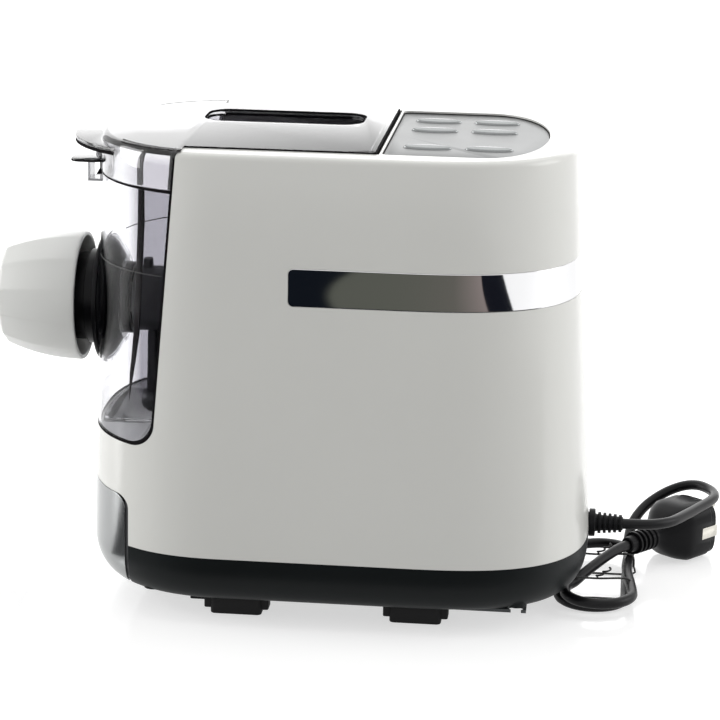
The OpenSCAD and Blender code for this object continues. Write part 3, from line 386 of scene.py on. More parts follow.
def grained(name, colour, roughness, metallic=0.0, grain=900.0, depth=0.00002, shift=0.05,
            rough_shift=0.04, coat=0.0, broad=18.0, edge=0.0, stretch=(1, 1, 1), shine=0.5):
    """A moulded or worked surface: colour and gloss vary a little, over a fine grain, and its
    corners are softened by the edge radius."""
    made, tree, shader = blank(name, {"Metallic": metallic, "Specular IOR Level": shine,
                                      "Coat Weight": coat, "Coat Roughness": 0.06})
    where = node(tree, "ShaderNodeTexCoord")
    turn = node(tree, "ShaderNodeMapping", {"Scale": stretch})
    clouds = node(tree, "ShaderNodeTexNoise", {"Scale": broad, "Detail": 3})
    tint = two_tones(tree, [c * (1 - shift) for c in colour], [min(c * (1 + shift), 1) for c in colour])
    fine = node(tree, "ShaderNodeTexNoise", {"Scale": grain, "Detail": 2})
    gloss = node(tree, "ShaderNodeMapRange", {"To Min": max(roughness - rough_shift, 0.01),
                                              "To Max": roughness + rough_shift})
    bump = node(tree, "ShaderNodeBump", {"Distance": depth})
    join(tree, (where, "Object", turn, "Vector"), (where, "Object", clouds, "Vector"),
         (turn, 0, fine, "Vector"), (clouds, "Fac", tint, "Fac"), (tint, "Color", shader, "Base Color"),
         (clouds, "Fac", gloss, "Value"), (gloss, 0, shader, "Roughness"),
         (fine, "Fac", bump, "Height"), (bump, 0, shader, "Normal"))
    if edge:
        join(tree, (node(tree, "ShaderNodeBevel", {"Radius": edge}, samples=4), 0, bump, "Normal"))
    return made


SILL, SILL_R, TOP_R = 105.0, 16.0, 3.0  # foot of the chamber's opening, and its two corners


def edge_at(z):
    """The opening's rear edge, which leans forward on its way down."""
    return -(BODY_L / 2 - 62.5) - 0.074 * (BODY_H - z)


def corner(cx, cz, radius, a0, a1, count=14):
    """Points of an arc between two angles in degrees."""
    a = np.radians(np.linspace(a0, a1, count))
    return [(cx + radius * math.cos(t), cz + radius * math.sin(t)) for t in a]


def window_side(gap):
    """Side view of everything in front of the housing's edge and above the sill."""
    top_x = edge_at(BODY_H) + TOP_R - gap
    return ([(-FAR, SILL + gap)] + corner(edge_at(SILL) - SILL_R - gap, SILL + SILL_R + gap, SILL_R, -90, 0)
            + [(edge_at(BODY_H - TOP_R) - gap, BODY_H - TOP_R)]
            + [(top_x - TOP_R * math.cos(t), BODY_H - TOP_R + TOP_R * math.sin(t))
               for t in np.radians(np.arange(15, 91, 15))]
            + [(top_x, BODY_H + 20), (-FAR, BODY_H + 20)])


DRAWER_X, DRAWER_TOP, DRAWER_R = -(BODY_L / 2 - 31.8), 72.0, 8.0


def drawer_side(gap):
    """Side view of the drawer's front."""
    x, top = DRAWER_X + gap, DRAWER_TOP + gap
    return ([(-FAR, -1), (x, -1)] + corner(x - DRAWER_R, top - DRAWER_R, DRAWER_R, 0, 90)
            + [(-FAR, top)])


def panel_outline(off):
    """The control panel's plan: square at the front, round at the rear."""
    tip, half, x0, x1, c = 38 + off, 78 + off, 26.5 - off, 119.7 + off, 4
    side = [(x0, 0.0), (x0, half - c)] + corner(x0 + c, half - c, c, 180, 90, 8)[1:]
    side += [(x1 - tip * (1 - math.sin(a) ** 0.95), half * max(math.cos(a), 0) ** 0.95)
             for a in np.linspace(0, math.pi / 2, 40)]
    return side + [(x, -y) for x, y in side[-2:0:-1]]


BAND_X, BAND_Z0, BAND_Z1, BAND_R = -24.0, 196.5, 218.5, 3.0


def band_side(gap):
    """Side view of the mirror band's groove."""
    x, z0, z1 = BAND_X - gap, BAND_Z0 - gap, BAND_Z1 + gap
    return (corner(x + BAND_R, z1 - BAND_R, BAND_R, 180, 90, 8) + [(FAR, z1), (FAR, z0)]
            + corner(x + BAND_R, z0 + BAND_R, BAND_R, 270, 180, 8))


top_edge = [(BODY_H - EDGE * (1 - math.sin(a)), EDGE * (1 - math.cos(a)))
            for a in np.radians(np.arange(0, 91, 10))]
shell = loft([(SEAM, 0), (90, 0), (150, 0), (215, 0)] + top_edge)
# The hollow, the bay under the lid, the panel's seat and the opening below the panel
cut(shell, loft([(SEAM - 1, WALL), (BODY_H - DECK, WALL)]),
    block(edge_at(BODY_H) - 10, 24.9, -BAY - GAP, BAY + GAP, BODY_H - DECK - 1, BODY_H + 5),
    prism(panel_outline(0.25), BODY_H - 3.5, BODY_H + 5, 2),
    prism(panel_outline(-4), BODY_H - DECK - 1, BODY_H, 2))
# A shelf over the drawer and a seat under the chamber's trough
add(shell, keep(loft([(SEAM, WALL - 0.5), (90, WALL - 0.5)]),
                block(-FAR, -92.5, -FAR, FAR, DRAWER_TOP + GAP, DRAWER_TOP + 2.4)))
add(shell, cut(keep(loft([(SEAM, WALL - 0.5), (120, WALL - 0.5)]),
                    block(-FAR, -99, -FAR, FAR, SILL - 12.5, SILL - 0.1)), rod(80, -170, -90)))
# The chamber's opening and the drawer's, the band's groove, and holes for bushing and hinge
cut(shell, through(window_side(0)), through(drawer_side(GAP)))
cut(shell, cut(through(band_side(0.15)), loft([(170, 1.4), (245, 1.4)])),
    rod(CORD_BORE, 140, 160, 0, CORD_Z), cross_rod(1.83, -84.5, 84.5, HINGE_X, HINGE_Z))
shell_gloss = grained("shell_gloss", (0.79, 0.79, 0.755), 0.24, grain=260, depth=0.000006, shift=0.012,
                      coat=0.15, broad=6, edge=0.0007)
finish(shell, "housing_shell", "housing", "shell_white", shell_gloss, "body_shell")
# Screw bosses with their fins, moulded on the inside of the shell near its corners
bosses = add(*[add(upright(5, x, s * SCREW_Y, SEAM, SEAM + 26),
                   block(x - 1, x + 1, *sorted((s * SCREW_Y, s * (SCREW_Y + 20))), SEAM, SEAM + 26))
               for x in SCREW_X for s in (-1, 1)])
keep(bosses, loft([(SEAM, WALL - 0.5), (SEAM + 30, WALL - 0.5)]))
cut(bosses, *[upright(1.6, x, s * SCREW_Y, SEAM - 1, SEAM + 24, 24) for x in SCREW_X for s in (-1, 1)])
finish(bosses, "shell_bosses", "housing", "shell_white", shell_gloss)

# ---- Mirror band ----
# Chromed strip, 22 mm wide, pressed into a shallow groove round the sides and the tail.
SUNK = 0.2  # below the skin


def bevelled(made, width, segments=2, angle=40):
    """Rounds a form's edges by a width in millimetres."""
    step = made.modifiers.new("edge", "BEVEL")
    step.width, step.segments, step.limit_method = width / 1000, segments, "ANGLE"
    step.angle_limit = math.radians(angle)
    return baked(made)


# Columns of the strip, each with its distance from the front end: along the straight side
# by distance alone, and round the tail by angle
columns = [(s, None) for s in (0, 0.25, 0.6, 1.1, 1.8, 3, 8, 16, 26, 38, 50)]
columns += [(FAR, a) for a in sorted(TAIL)[1:]]
points = []
for y_side, run in ((-1, columns), (1, columns[-2::-1])):
    for s, a in run:
        shy = BAND_R - math.sqrt(max(BAND_R ** 2 - (BAND_R - min(s, BAND_R)) ** 2, 0))
        low, high = BAND_Z0 + shy, BAND_Z1 - shy
        for z in (low, low + 0.4, low + 0.9, *np.linspace(low, high, 5)[1:-1], high - 0.9, high - 0.4, high):
            x, y = (BAND_X + s, half_width(z, SUNK)) if a is None else tail_point(a, z, SUNK)
            points.append((x, y_side * y, z))
tall = 9
band = solid(points, [(c * tall + r, (c + 1) * tall + r, (c + 1) * tall + r + 1, c * tall + r + 1)
                      for c in range(len(points) // tall - 1) for r in range(tall - 1)])
step = band.modifiers.new("gauge", "SOLIDIFY")
step.thickness, step.offset = 0.0012, -1
bevelled(band, 0.3, 2, 50)
chrome = grained("band_chrome", (0.84, 0.84, 0.85), 0.035, metallic=1.0, grain=120, depth=0.0000015,
                 shift=0.02, rough_shift=0.015, broad=9)
finish(band, "mirror_band", "housing", "band_mirror", chrome, "trim_band", angle=40)

# ---- Base ----
# Charcoal tub under the housing with a rounded underside, screw bosses sunk from below,
# and two rails that guide the drawer.
BASE = 13.0  # height of the underside over the table
TRAY_X0 = -120.7


def tub(inset, top):
    """The rounded lower form that the base and the drawer front share."""
    rise = [(BASE + inset + (22 - inset) * (1 - math.cos(a)), inset + (15 - inset) * (1 - math.sin(a)))
            for a in np.radians(np.arange(0, 91, 7.5))]
    return loft(rise + [(top, inset)])


# Screw bosses, the drawer's rails with their end stop, and posts for the power board
base = cut(tub(0, SEAM), loft([(17, 14), (26, WALL + 1.4), (SEAM + 1, WALL)]))
add(base, *[upright(6, x, s * SCREW_Y, 14.5, SEAM) for x in SCREW_X for s in (-1, 1)],
    *[block(TRAY_X0 + 3, TRAY_X0 + 94, s * 64.2 - 1, s * 64.2 + 1, 16, 38) for s in (-1, 1)],
    block(TRAY_X0 + 94, TRAY_X0 + 96, -65.2, 65.2, 16, 38),
    *[upright(3, x, y, 16, 27, 24) for x in (50, 112) for y in (42, 64)])
cut(base, through(drawer_side(GAP)), rod(CORD_BORE, 138, 160, 0, CORD_Z),
    *[upright(r, x, s * SCREW_Y, z0, z1) for x in SCREW_X for s in (-1, 1)
      for r, z0, z1 in ((2.2, BASE - 1, SEAM + 1), (4.6, BASE - 1, BASE + 7))])
charcoal = grained("base_charcoal", (0.006, 0.008, 0.0085), 0.4, grain=1400, depth=0.00002, shift=0.1,
                   edge=0.0006, shine=0.16)
finish(base, "base_tub", "housing", "base_charcoal", charcoal, "base_tray")

# ---- Feet and screws ----
# Four rubber feet with a step at each end, and four cross-headed screws deep in their
# recesses. The screws hold the housing to the base from below.


def repeated(name, item, material, columns, rows, length, width, centre):
    """Copies of an item on a grid of points, as one mesh."""
    tree = bpy.data.node_groups.new(name, "GeometryNodeTree")
    face = tree.interface
    face.new_socket("Geometry", in_out="INPUT", socket_type="NodeSocketGeometry")
    face.new_socket("Geometry", in_out="OUTPUT", socket_type="NodeSocketGeometry")
    sockets = {label: face.new_socket(label, in_out="INPUT", socket_type="NodeSocket" + kind)
               for label, kind in (("Item", "Object"), ("Columns", "Int"), ("Rows", "Int"),
                                   ("Length", "Float"), ("Width", "Float"), ("Centre", "Vector"),
                                   ("Finish", "Material"))}
    given, out = node(tree, "NodeGroupInput"), node(tree, "NodeGroupOutput")
    grid, item_in = node(tree, "GeometryNodeMeshGrid"), node(tree, "GeometryNodeObjectInfo")
    move, place = node(tree, "GeometryNodeTransform"), node(tree, "GeometryNodeInstanceOnPoints")
    real, paint = node(tree, "GeometryNodeRealizeInstances"), node(tree, "GeometryNodeSetMaterial")
    join(tree, (given, "Item", item_in, "Object"), (given, "Columns", grid, "Vertices X"),
         (given, "Rows", grid, "Vertices Y"), (given, "Length", grid, "Size X"),
         (given, "Width", grid, "Size Y"), (grid, "Mesh", move, "Geometry"),
         (given, "Centre", move, "Translation"), (move, "Geometry", place, "Points"),
         (item_in, "Geometry", place, "Instance"), (place, "Instances", real, "Geometry"),
         (real, "Geometry", paint, "Geometry"), (given, "Finish", paint, "Material"),
         (paint, "Geometry", out, "Geometry"))
    made = put(name, bpy.data.meshes.new(name))
    step = made.modifiers.new(name, "NODES")
    step.node_group = tree
    values = item, columns, rows, length / 1000, width / 1000, [c / 1000 for c in centre], material
    for socket, value in zip(sockets.values(), values):
        step[socket.identifier] = value
    baked(made)
    bpy.data.objects.remove(item)
    return made


def rounded(length, width, radius, at=(0, 0), count=8):
    """The outline of a rectangle with rounded corners."""
    a, b = length / 2 - radius, width / 2 - radius
    return [(at[0] + x, at[1] + y) for cx, cy, t in ((a, b, 0), (-a, b, 90), (-a, -b, 180), (a, -b, 270))
            for x, y in corner(cx, cy, radius, t, t + 90, count)]


rubber = grained("foot_rubber", (0.008, 0.008, 0.0085), 0.6, grain=1800, depth=0.00003, shift=0.12,
                 shine=0.25)
foot = add(bevelled(prism(rounded(31, 15, 3, (-MID, 0)), 0, BASE, 2), 0.8),
           bevelled(prism(rounded(39, 11, 1.5, (-MID, 0)), 3, BASE, 2), 0.5))
feet = repeated("feet", foot, rubber, 2, 2, 108, 142, (-2 + MID, 0, 0))
tab = bevelled(prism(rounded(10, 6, 1.5, (-MID, 0)), 7, 9, 2), 0.4)
tabs = repeated("foot_tabs", tab, rubber, 1, 2, 0, 142, (-56 - 23.5 + MID, 0, 0))
finish(feet, "foot_pads", "housing", "foot_rubber", rubber, "feet", angle=35)
finish(tabs, "foot_tabs", "housing", "foot_rubber", rubber, angle=35)
zinc = grained("zinc_screw", (0.62, 0.62, 0.6), 0.3, metallic=1.0, grain=1500, shift=0.06)
screw = add(bevelled(upright(4, -MID, 0, 17.4, 20), 0.5, 3), upright(1.55, -MID, 0, 19, 58, 20))
cut(screw, block(-MID - 2.2, -MID + 2.2, -0.45, 0.45, 16, 19),
    block(-MID - 0.45, -MID + 0.45, -2.2, 2.2, 16, 19))
screws = repeated("base_screws", screw, zinc, 2, 2, 218, 152, (3 + MID, 0, 0))
finish(screws, "housing_screws", "housing", "screw_steel", zinc, "base_screws", angle=35)

# ---- Drawer ----
# Silver-lacquered front that continues the nose, over a charcoal tray with spare discs.


def shifted(side, dx, dz):
    """A side view moved along and up."""
    return [(x + dx, z + dz) for x, z in side]


drawer = keep(tub(0, DRAWER_TOP), through(shifted(drawer_side(0), -2, 0)))
cut(drawer, keep(tub(2.5, DRAWER_TOP - 2.5), through(shifted(drawer_side(0), 0, -2.5))))
silver = grained("drawer_silver", (0.37, 0.38, 0.38), 0.22, metallic=0.92, grain=2200, depth=0.000006,
                 shift=0.03, coat=0.2, edge=0.0008)
finish(drawer, "silver_front", "drawer", "drawer_silver", silver, "drawer_front")

# ---- Mixing chamber ----
# Clear, faintly smoky moulding: an outer skin of 1.6 mm that continues the nose, a trough
# of 3 mm inside it, and a bowl in the nose that seats the extruder head.
FLANGE_X, DOME_X0, DOME_X = -151.0, -148.0, -138.0
TROUGH_R, TROUGH_WALL = 76.0, 3.0


def turned(profile, count=128, z=AXIS, loop=False):
    """Turns a profile of (radius, x) about a line along the machine. A loop is a closed profile."""
    a = np.linspace(0, 2 * math.pi, count, endpoint=False)
    points, starts, faces = [], [], []
    for radius, x in profile:
        pole = radius < 1e-6
        starts.append((len(points), pole))
        points += [(x, radius * math.cos(t), z + radius * math.sin(t)) for t in ([0.0] if pole else a)]
    for (s0, pole0), (s1, pole1) in zip(starts, starts[1:] + (starts[:1] if loop else [])):
        for i in range(count):
            j = (i + 1) % count
            if pole0 and not pole1:
                faces.append((s0, s1 + i, s1 + j))
            elif pole1 and not pole0:
                faces.append((s0 + i, s1, s0 + j))
            elif not pole0 and not pole1:
                faces.append((s0 + i, s0 + j, s1 + j, s1 + i))
    return solid(points, faces)


def dome_radius(x):
    """The head's dome, which narrows towards the rear."""
    return 37 - 12.5 * ((x - DOME_X0) / 10) ** 1.6


def dome(grow, x1):
    """The room the head's flange and domed rear take, grown by a gap."""
    curve = [(dome_radius(x) + grow, x + grow) for x in np.linspace(DOME_X0, DOME_X, 14)]
    return turned([(0, FLANGE_X - 30), (38.5 + grow, FLANGE_X - 30), (38.5 + grow, DOME_X0 + grow)]
                  + curve + [(0, x1)])


def trough(radius, x0, x1, top):
    """A round-bottomed form along the machine, open to the top."""
    return add(rod(radius, x0, x1, count=144), block(x0, x1, -radius, radius, AXIS, top))


def bowl():
    """The chamber's nose wall round the dome, as a full form."""
    return keep(dome(2, DOME_X + 2), block(-157.5, DOME_X + 6, -60, 60, AXIS - 60, AXIS + 60))


RIM = 260.0  # height of the chamber's rim, where the lid begins
# The skin's form and the trough's, with the bar that the latch hooks under, then the room
# between the two, the trough's inside, and the openings for head, auger and shaft
chamber = keep(loft([(SEAM, 0), (BODY_H - 10, 0)]), through(window_side(GAP)),
               block(-FAR, 0, -FAR, FAR, 0, RIM))
add(chamber, keep(loft([(SEAM, 3.6), (BODY_H - 10, 3.6)]), trough(TROUGH_R + TROUGH_WALL, -152.5, 10, RIM)),
    block(-148.6, -142, -5.5, 5.5, RIM - 10, RIM - 7))
hollow = cut(keep(loft([(SEAM, 1.6), (BODY_H, 1.6)]), through(shifted(window_side(GAP), -1.2, 1.2))),
             bowl())
inside = cut(keep(loft([(SEAM, 6.6), (BODY_H, 6.6)]), trough(TROUGH_R, -152.5, 7, BODY_H)), bowl())
cut(chamber, hollow, inside, dome(0.5, DOME_X + 0.5), rod(22.3, DOME_X - 2, DOME_X + 10),
    rod(11.02, 6, 11))


def clear(name, colour, ior=1.49, nose=None, rise=None):
    """Clear plastic, whose tint varies a little. Painted light and shade: it may be lighter at the nose,
    and grow lighter from the first height of rise to the second. Lamp light passes it as through a pane."""
    made, tree, shader = blank(name, {"Transmission Weight": 1.0, "IOR": ior})
    where = node(tree, "ShaderNodeTexCoord")
    clouds = node(tree, "ShaderNodeTexNoise", {"Scale": 14})
    tint = two_tones(tree, [c * 0.99 for c in colour], colour)
    haze = node(tree, "ShaderNodeMapRange", {"To Min": 0.01, "To Max": 0.03})
    join(tree, (where, "Object", clouds, "Vector"), (clouds, "Fac", tint, "Fac"),
         (clouds, "Fac", haze, "Value"), (tint, "Color", shader, "Base Color"),
         (haze, 0, shader, "Roughness"))
    # Painted light and shade: the tint is lighter at the nose and past rise, and darker elsewhere
    if nose:
        parts = node(tree, "ShaderNodeSeparateXYZ")
        along = node(tree, "ShaderNodeMapRange", {"From Min": -0.094, "From Max": -0.082})
        up = node(tree, "ShaderNodeMapRange", {"From Min": rise[0], "From Max": rise[1],
                                               "To Min": 1.0, "To Max": 0.2})
        painted_shade_share = node(tree, "ShaderNodeMath", operation="MULTIPLY")
        painted_light_blend = node(tree, "ShaderNodeMix", {"A": list(nose) + [1]}, data_type="RGBA")
        join(tree, (where, "Object", parts, 0), (parts, "X", along, "Value"),
             (parts, "Z", up, "Value"), (along, 0, painted_shade_share, 0), (up, 0, painted_shade_share, 1),
             (painted_shade_share, 0, painted_light_blend, "Factor"), (tint, "Color", painted_light_blend, "B"),
             (painted_light_blend, "Result", shader, "Base Color"))
    seen = node(tree, "ShaderNodeLightPath").outputs
    pane = node(tree, "ShaderNodeBsdfTransparent", {"Color": list(nose or colour) + [1]})
    mixed = node(tree, "ShaderNodeMixShader")
    tree.links.new(larger(tree, seen["Is Shadow Ray"], seen["Is Diffuse Ray"]), mixed.inputs[0])
    join(tree, (shader, 0, mixed, 1), (pane, 0, mixed, 2),
         (mixed, 0, tree.nodes["Material Output"], "Surface"))
    return made


# Painted shade in the chamber's tint: darker behind the nose and above 140 mm, where the shaded housing
# shows through; lighter at the nose and low in the trough
smoky = clear("smoky_clear_and_painted_shade", (0.275, 0.269, 0.30), ior=1.12, nose=(0.88, 0.88, 0.895), rise=(0.140, 0.124))
finish(chamber, "clear_chamber", "housing", "clear_smoky", smoky, "mixing_chamber", angle=22)
# Fill mark, a fine printed line round the chamber's skin
mark = cut(loft([(209.3, -0.06), (209.9, -0.06)]), loft([(200, 0.05), (215, 0.05)]))
keep(mark, through(window_side(2.5)), block(-145, 0, -FAR, FAR, 200, 220))
mark_ink = grained("mark_ink", (0.03, 0.03, 0.03), 0.5, grain=800, shift=0.1)
finish(mark, "fill_mark", "housing", "head_black", mark_ink)
# Painted shade: black strips lie in the joint between chamber and housing and on the chamber's rim
# under the lid, where the joints are in shade. A dark strip behind the near wall is painted shade too.


def edge_shade_strip(low, high):
    """Thin black strip along the window's edge, flush with the skin: painted shade in the joint."""
    strip = keep(loft([(SEAM, -0.05)] + [(z, inset - 0.05) for z, inset in top_edge]),
                 through(window_side(0.02)), block(-FAR, 0, -FAR, FAR, low, high))
    return cut(strip, loft([(SEAM, 2), (BODY_H - 3, 2), (BODY_H + 1, 4)]), through(window_side(1.3)))


window_shade_strip = edge_shade_strip(SEAM, RIM + 0.35)
rim_shade_strip = cut(loft([(RIM - 1.9, -0.06), (RIM + 0.35, -0.06)]), loft([(RIM - 3, 1.2), (RIM + 3, 1.2)]),
               through([(-160, RIM - 4), (-80, RIM - 4), (-80, RIM - 1.9), (-150, RIM - 0.4),
                        (-160, RIM - 0.3)]))
add(window_shade_strip, keep(rim_shade_strip, through(window_side(GAP))))
# Flat black for the strips that stand in for shade in joints and gaps: painted shade
painted_shade_black = grained("painted_shade_black", (0.008, 0.007, 0.008), 0.85, grain=1500, shift=0.1, shine=0.05)
finish(window_shade_strip, "window_seal", "housing", "seal_black", painted_shade_black)
# Painted shade: a dark strip in place of the dark streak that refraction at the skin's curve gives
painted_dark_streak = keep(prism([(-125.6, 107), (-121, 135), (-118.4, 155), (-116.8, 172), (-115.2, 205), (-113.9, 238),
                  (-113.6, 258), (-110.2, 258), (-110.2, 238), (-111.6, 205), (-113.4, 172), (-115.8, 155),
                  (-119, 135), (-124, 107)], -96, -79.3, 1), loft([(SEAM, 1.7), (BODY_H, 1.7)]))
painted_streak_dark = grained("painted_streak_dark", (0.02, 0.017, 0.016), 0.5, grain=500, shift=0.15, shine=0.15)
finish(painted_dark_streak, "wall_rib", "housing", "liner_dark", painted_streak_dark)

# ---- Lid and latch ----
# Clear lid over the bay with a fill slot, a brim at its front and two hinge lugs at its
# rear. A clear sprung latch hangs at the front and hooks under the chamber's rim.
LID_TOP = BODY_H + 1.0
BRIM = 78.0  # radius of the brim's front edge
brim_x = front_at(RIM) - 18 + BRIM
PIN_X, PIN_Z = -150.0, 265.0  # the latch's pin


def fill_slot(grow, z0, z1):
    """The lid's fill slot, grown on each side."""
    return prism(rounded(98 + 2 * grow, 44 + 2 * grow, 14 + min(grow, 0), (-43, 34), 12), z0, z1, 2)


lid = keep(loft([(SEAM, 0)] + [(z + 1, inset) for z, inset in top_edge]), through(window_side(GAP)),
           block(-FAR, edge_at(RIM) + 20, -FAR, FAR, RIM + GAP, LID_TOP + 1))
add(lid, bevelled(block(edge_at(RIM + GAP) - 2.5, 22.6, -BAY, BAY, RIM + GAP, LID_TOP), 0.4))
under = keep(loft([(SEAM, 2.5), (BODY_H - 3, 2.5)]), through(shifted(window_side(GAP), -2.5, 0)),
             block(-FAR, 0, -FAR, FAR, RIM - 5, BODY_H - 3))
add(under, block(edge_at(RIM) - 12, 20.1, -75.5, 75.5, RIM - 5, BODY_H - 3))
cut(lid, under)
# The brim, the hinge lugs, and the latch's lugs on their stems
add(lid, cut(bevelled(upright(BRIM, brim_x, 0, 276, 278.5, 160), 0.5), loft([(RIM, 1), (BODY_H, 1)]),
             block(-118, FAR, -FAR, FAR, 200, 300)),
    *[cross_rod(3.4, s * 70 - 6, s * 70 + 6, HINGE_X, HINGE_Z) for s in (-1, 1)],
    *[cross_rod(2.5, s * 9.8 - 1.8, s * 9.8 + 1.8, PIN_X, PIN_Z) for s in (-1, 1)],
    *[block(PIN_X, PIN_X + 5, s * 9.8 - 1.8, s * 9.8 + 1.8, PIN_Z - 2, PIN_Z + 2) for s in (-1, 1)])
cut(lid, fill_slot(0, 273, 293), cross_rod(1.77, -79, 79, HINGE_X, HINGE_Z),
    cross_rod(1.22, -12, 12, PIN_X, PIN_Z))
# Painted light and shade in the lid's tint: a lighter top from 274 mm up and a lighter nose as painted
# sheen, darker walls behind the nose as painted shade
lid_clear = clear("lid_clear", (0.43, 0.42, 0.455), nose=(0.68, 0.68, 0.695), ior=1.56, rise=(0.274, 0.279))
finish(lid, "fill_lid", "lid", "clear_lid", lid_clear, "lid", angle=24)
# The latch's barrel and leg, its plate, and the U hook under the plate
latch = add(cross_rod(2.5, -7, 7, PIN_X, PIN_Z), block(-151.5, -149, -7, 7, RIM + 0.6, PIN_Z),
            bevelled(prism(rounded(20, 30, 6, (-158, 0), 10), RIM + 0.6, RIM + 2.2, 2), 0.4),
            block(-158.5, -157, -7, 7, 247.5, 261.6), block(-158.5, -149.5, -7, 7, 247.5, 249),
            block(-151, -149.5, -7, 7, 247.5, 261.6))
cut(latch, cross_rod(1.28, -12, 12, PIN_X, PIN_Z))
latch_clear = clear("latch_clear", (0.24, 0.24, 0.25))
finish(latch, "spring_latch", "latch", "clear_lid", latch_clear, "lid_latch", angle=30)
# Painted shade: a thin black rim under the latch plate and a black wedge inside its hook
latch_shade = add(prism(rounded(20.3, 30.3, 6.1, (-158, 0), 10), RIM + 0.45, RIM + 1.3, 2),
          prism([(-153.4, 251.6), (-149.3, 258.8), (-149.3, 252)], -7.1, 7.1, 1))
finish(latch_shade, "latch_pad", "latch", "seal_black", painted_shade_black)
# Painted shade on the lid: black strips beside the window's edge, round the top's front edge, under
# the brim, in the gap along the strip and its rear, and round the slot, where shade falls
lid_seal = edge_shade_strip(RIM + 0.42, BODY_H + 0.1)
top_edge_shade = cut(loft([(LID_TOP - 0.95, 1.4), (LID_TOP - 0.4, 2.2), (LID_TOP + 0.04, 3.9)]),
               loft([(LID_TOP - 2, 5.2), (LID_TOP + 1, 5.2)]))
keep(top_edge_shade, through(window_side(GAP)), block(-126, 0, -FAR, FAR, RIM, LID_TOP + 1))
brim_underside_shade = cut(upright(BRIM + 0.05, brim_x, 0, 274.4, 276.3, 160),
                upright(BRIM - 2, brim_x, 0, 270, 280, 160),
                loft([(RIM, 0.2), (BODY_H, 0.2)]), block(-118, FAR, -FAR, FAR, 200, 300))
rear_gap_shade = cut(block(edge_at(BODY_H) + 0.6, 23.4, -BAY - 0.3, BAY + 0.3, 281, LID_TOP - 0.1),
                 block(-150, 21.8, -77.2, 77.2, 270, 290))
slot_lip_shade = cut(fill_slot(0.1, LID_TOP - 1.3, LID_TOP + 0.08), fill_slot(-0.5, 280, 293))
add(lid_seal, top_edge_shade, brim_underside_shade, rear_gap_shade, slot_lip_shade)
finish(lid_seal, "lid_seal", "lid", "seal_black", painted_shade_black)
# Painted shade: a dark strip behind the lid's near wall, as behind the chamber's
lid_rib = keep(prism([(-113.8, RIM + 0.6), (-113.8, 272), (-112.8, 277), (-110.5, 280), (-108.5, 280),
                      (-110, 277), (-111, 272), (-111, RIM + 0.6)], -96, -76, 1),
               loft([(SEAM, 2.6), (BODY_H, 2.6)]))
finish(lid_rib, "lid_rib", "lid", "liner_dark", painted_streak_dark)

# ---- Control panel ----
# Satin silver plate sunk in the deck, with six lens-shaped push buttons in three rows.


def lens(length, width, count=36, at=(0, 0)):
    """Two arcs that meet in soft points, like a seed."""
    t = np.linspace(0, 2 * math.pi, count, endpoint=False)
    x = np.cos(t)
    y = np.sign(np.sin(t)) * np.abs(np.sin(t)) ** 1.35
    return np.c_[at[0] + x * length / 2, at[1] + y * width / 2]


BUTTONS = [(x, y) for y in (-43.5, 16, 49) for x in (50, 86)]
plate = bevelled(prism(panel_outline(0), 279.5, 281.5, 2), 0.4, 2, 60)
cut(plate, *[prism(lens(28.8, 9.8, at=p), 278, 284, 2) for p in BUTTONS])
satin = grained("panel_satin", (0.14, 0.144, 0.144), 0.34, metallic=0.8, grain=2600, depth=0.000006,
                shift=0.03, rough_shift=0.05, edge=0.0004)
finish(plate, "control_panel", "housing", "panel_silver", satin, "panel_plate", angle=30)
# Painted shade: a black strip in the gap round the panel
panel_seal = cut(prism(panel_outline(0.8), 279.6, 281.9, 2), prism(panel_outline(-0.05), 279, 285, 2))
finish(panel_seal, "panel_seal", "housing", "seal_black", painted_shade_black)
button_satin = grained("button_satin", (0.30, 0.31, 0.31), 0.24, metallic=0.85, grain=2600,
                       depth=0.000005, shift=0.03)
# Sections of a button from its collar up: length, width and height
KEY_ROWS = [(31, 12, 277.3), (31, 12, 279.3), (28, 9, 279.35), (28, 9, 281.7), (27.4, 8.4, 282.3),
            (25.5, 7.0, 282.9), (22, 5.0, 283.3), (15, 2.6, 283.5), (4, 0.7, 283.6)]
for i, (x, y) in enumerate(BUTTONS):
    key = skin([np.c_[lens(l, w, 48, (x, y)), np.full(48, z)] for l, w, z in KEY_ROWS])
    name = "button_%d" % (i + 1)
    finish(key, name + "_cap", name, "button_silver", button_satin, name, angle=40)

# ---- Nut ----
# White moulded nut with twelve broad grip flats that fade towards its rear rim, screwed
# on to the head and holding the shaping disc.
NUT = -211.0  # its front face


def grip(radius, x, turn):
    """Flats that meet in soft ridges, deepest behind the front edge."""
    part = (turn - 0.24) % (math.pi / 6) - math.pi / 12
    flat = math.cos(math.pi / 12) / math.cos(part)
    depth = np.interp(x - NUT, [0, 3, 14, 34, 46], [1.0, 1.15, 0.9, 0.5, 0.15])
    return radius * (1 - depth * (1 - flat))


def nut_radius(x):
    """The nut's outline, which widens to the rear and rounds off there."""
    return 29.7 + 9.9 * (1 - (1 - min((x - NUT) / 49.5, 1)) ** 2.2)


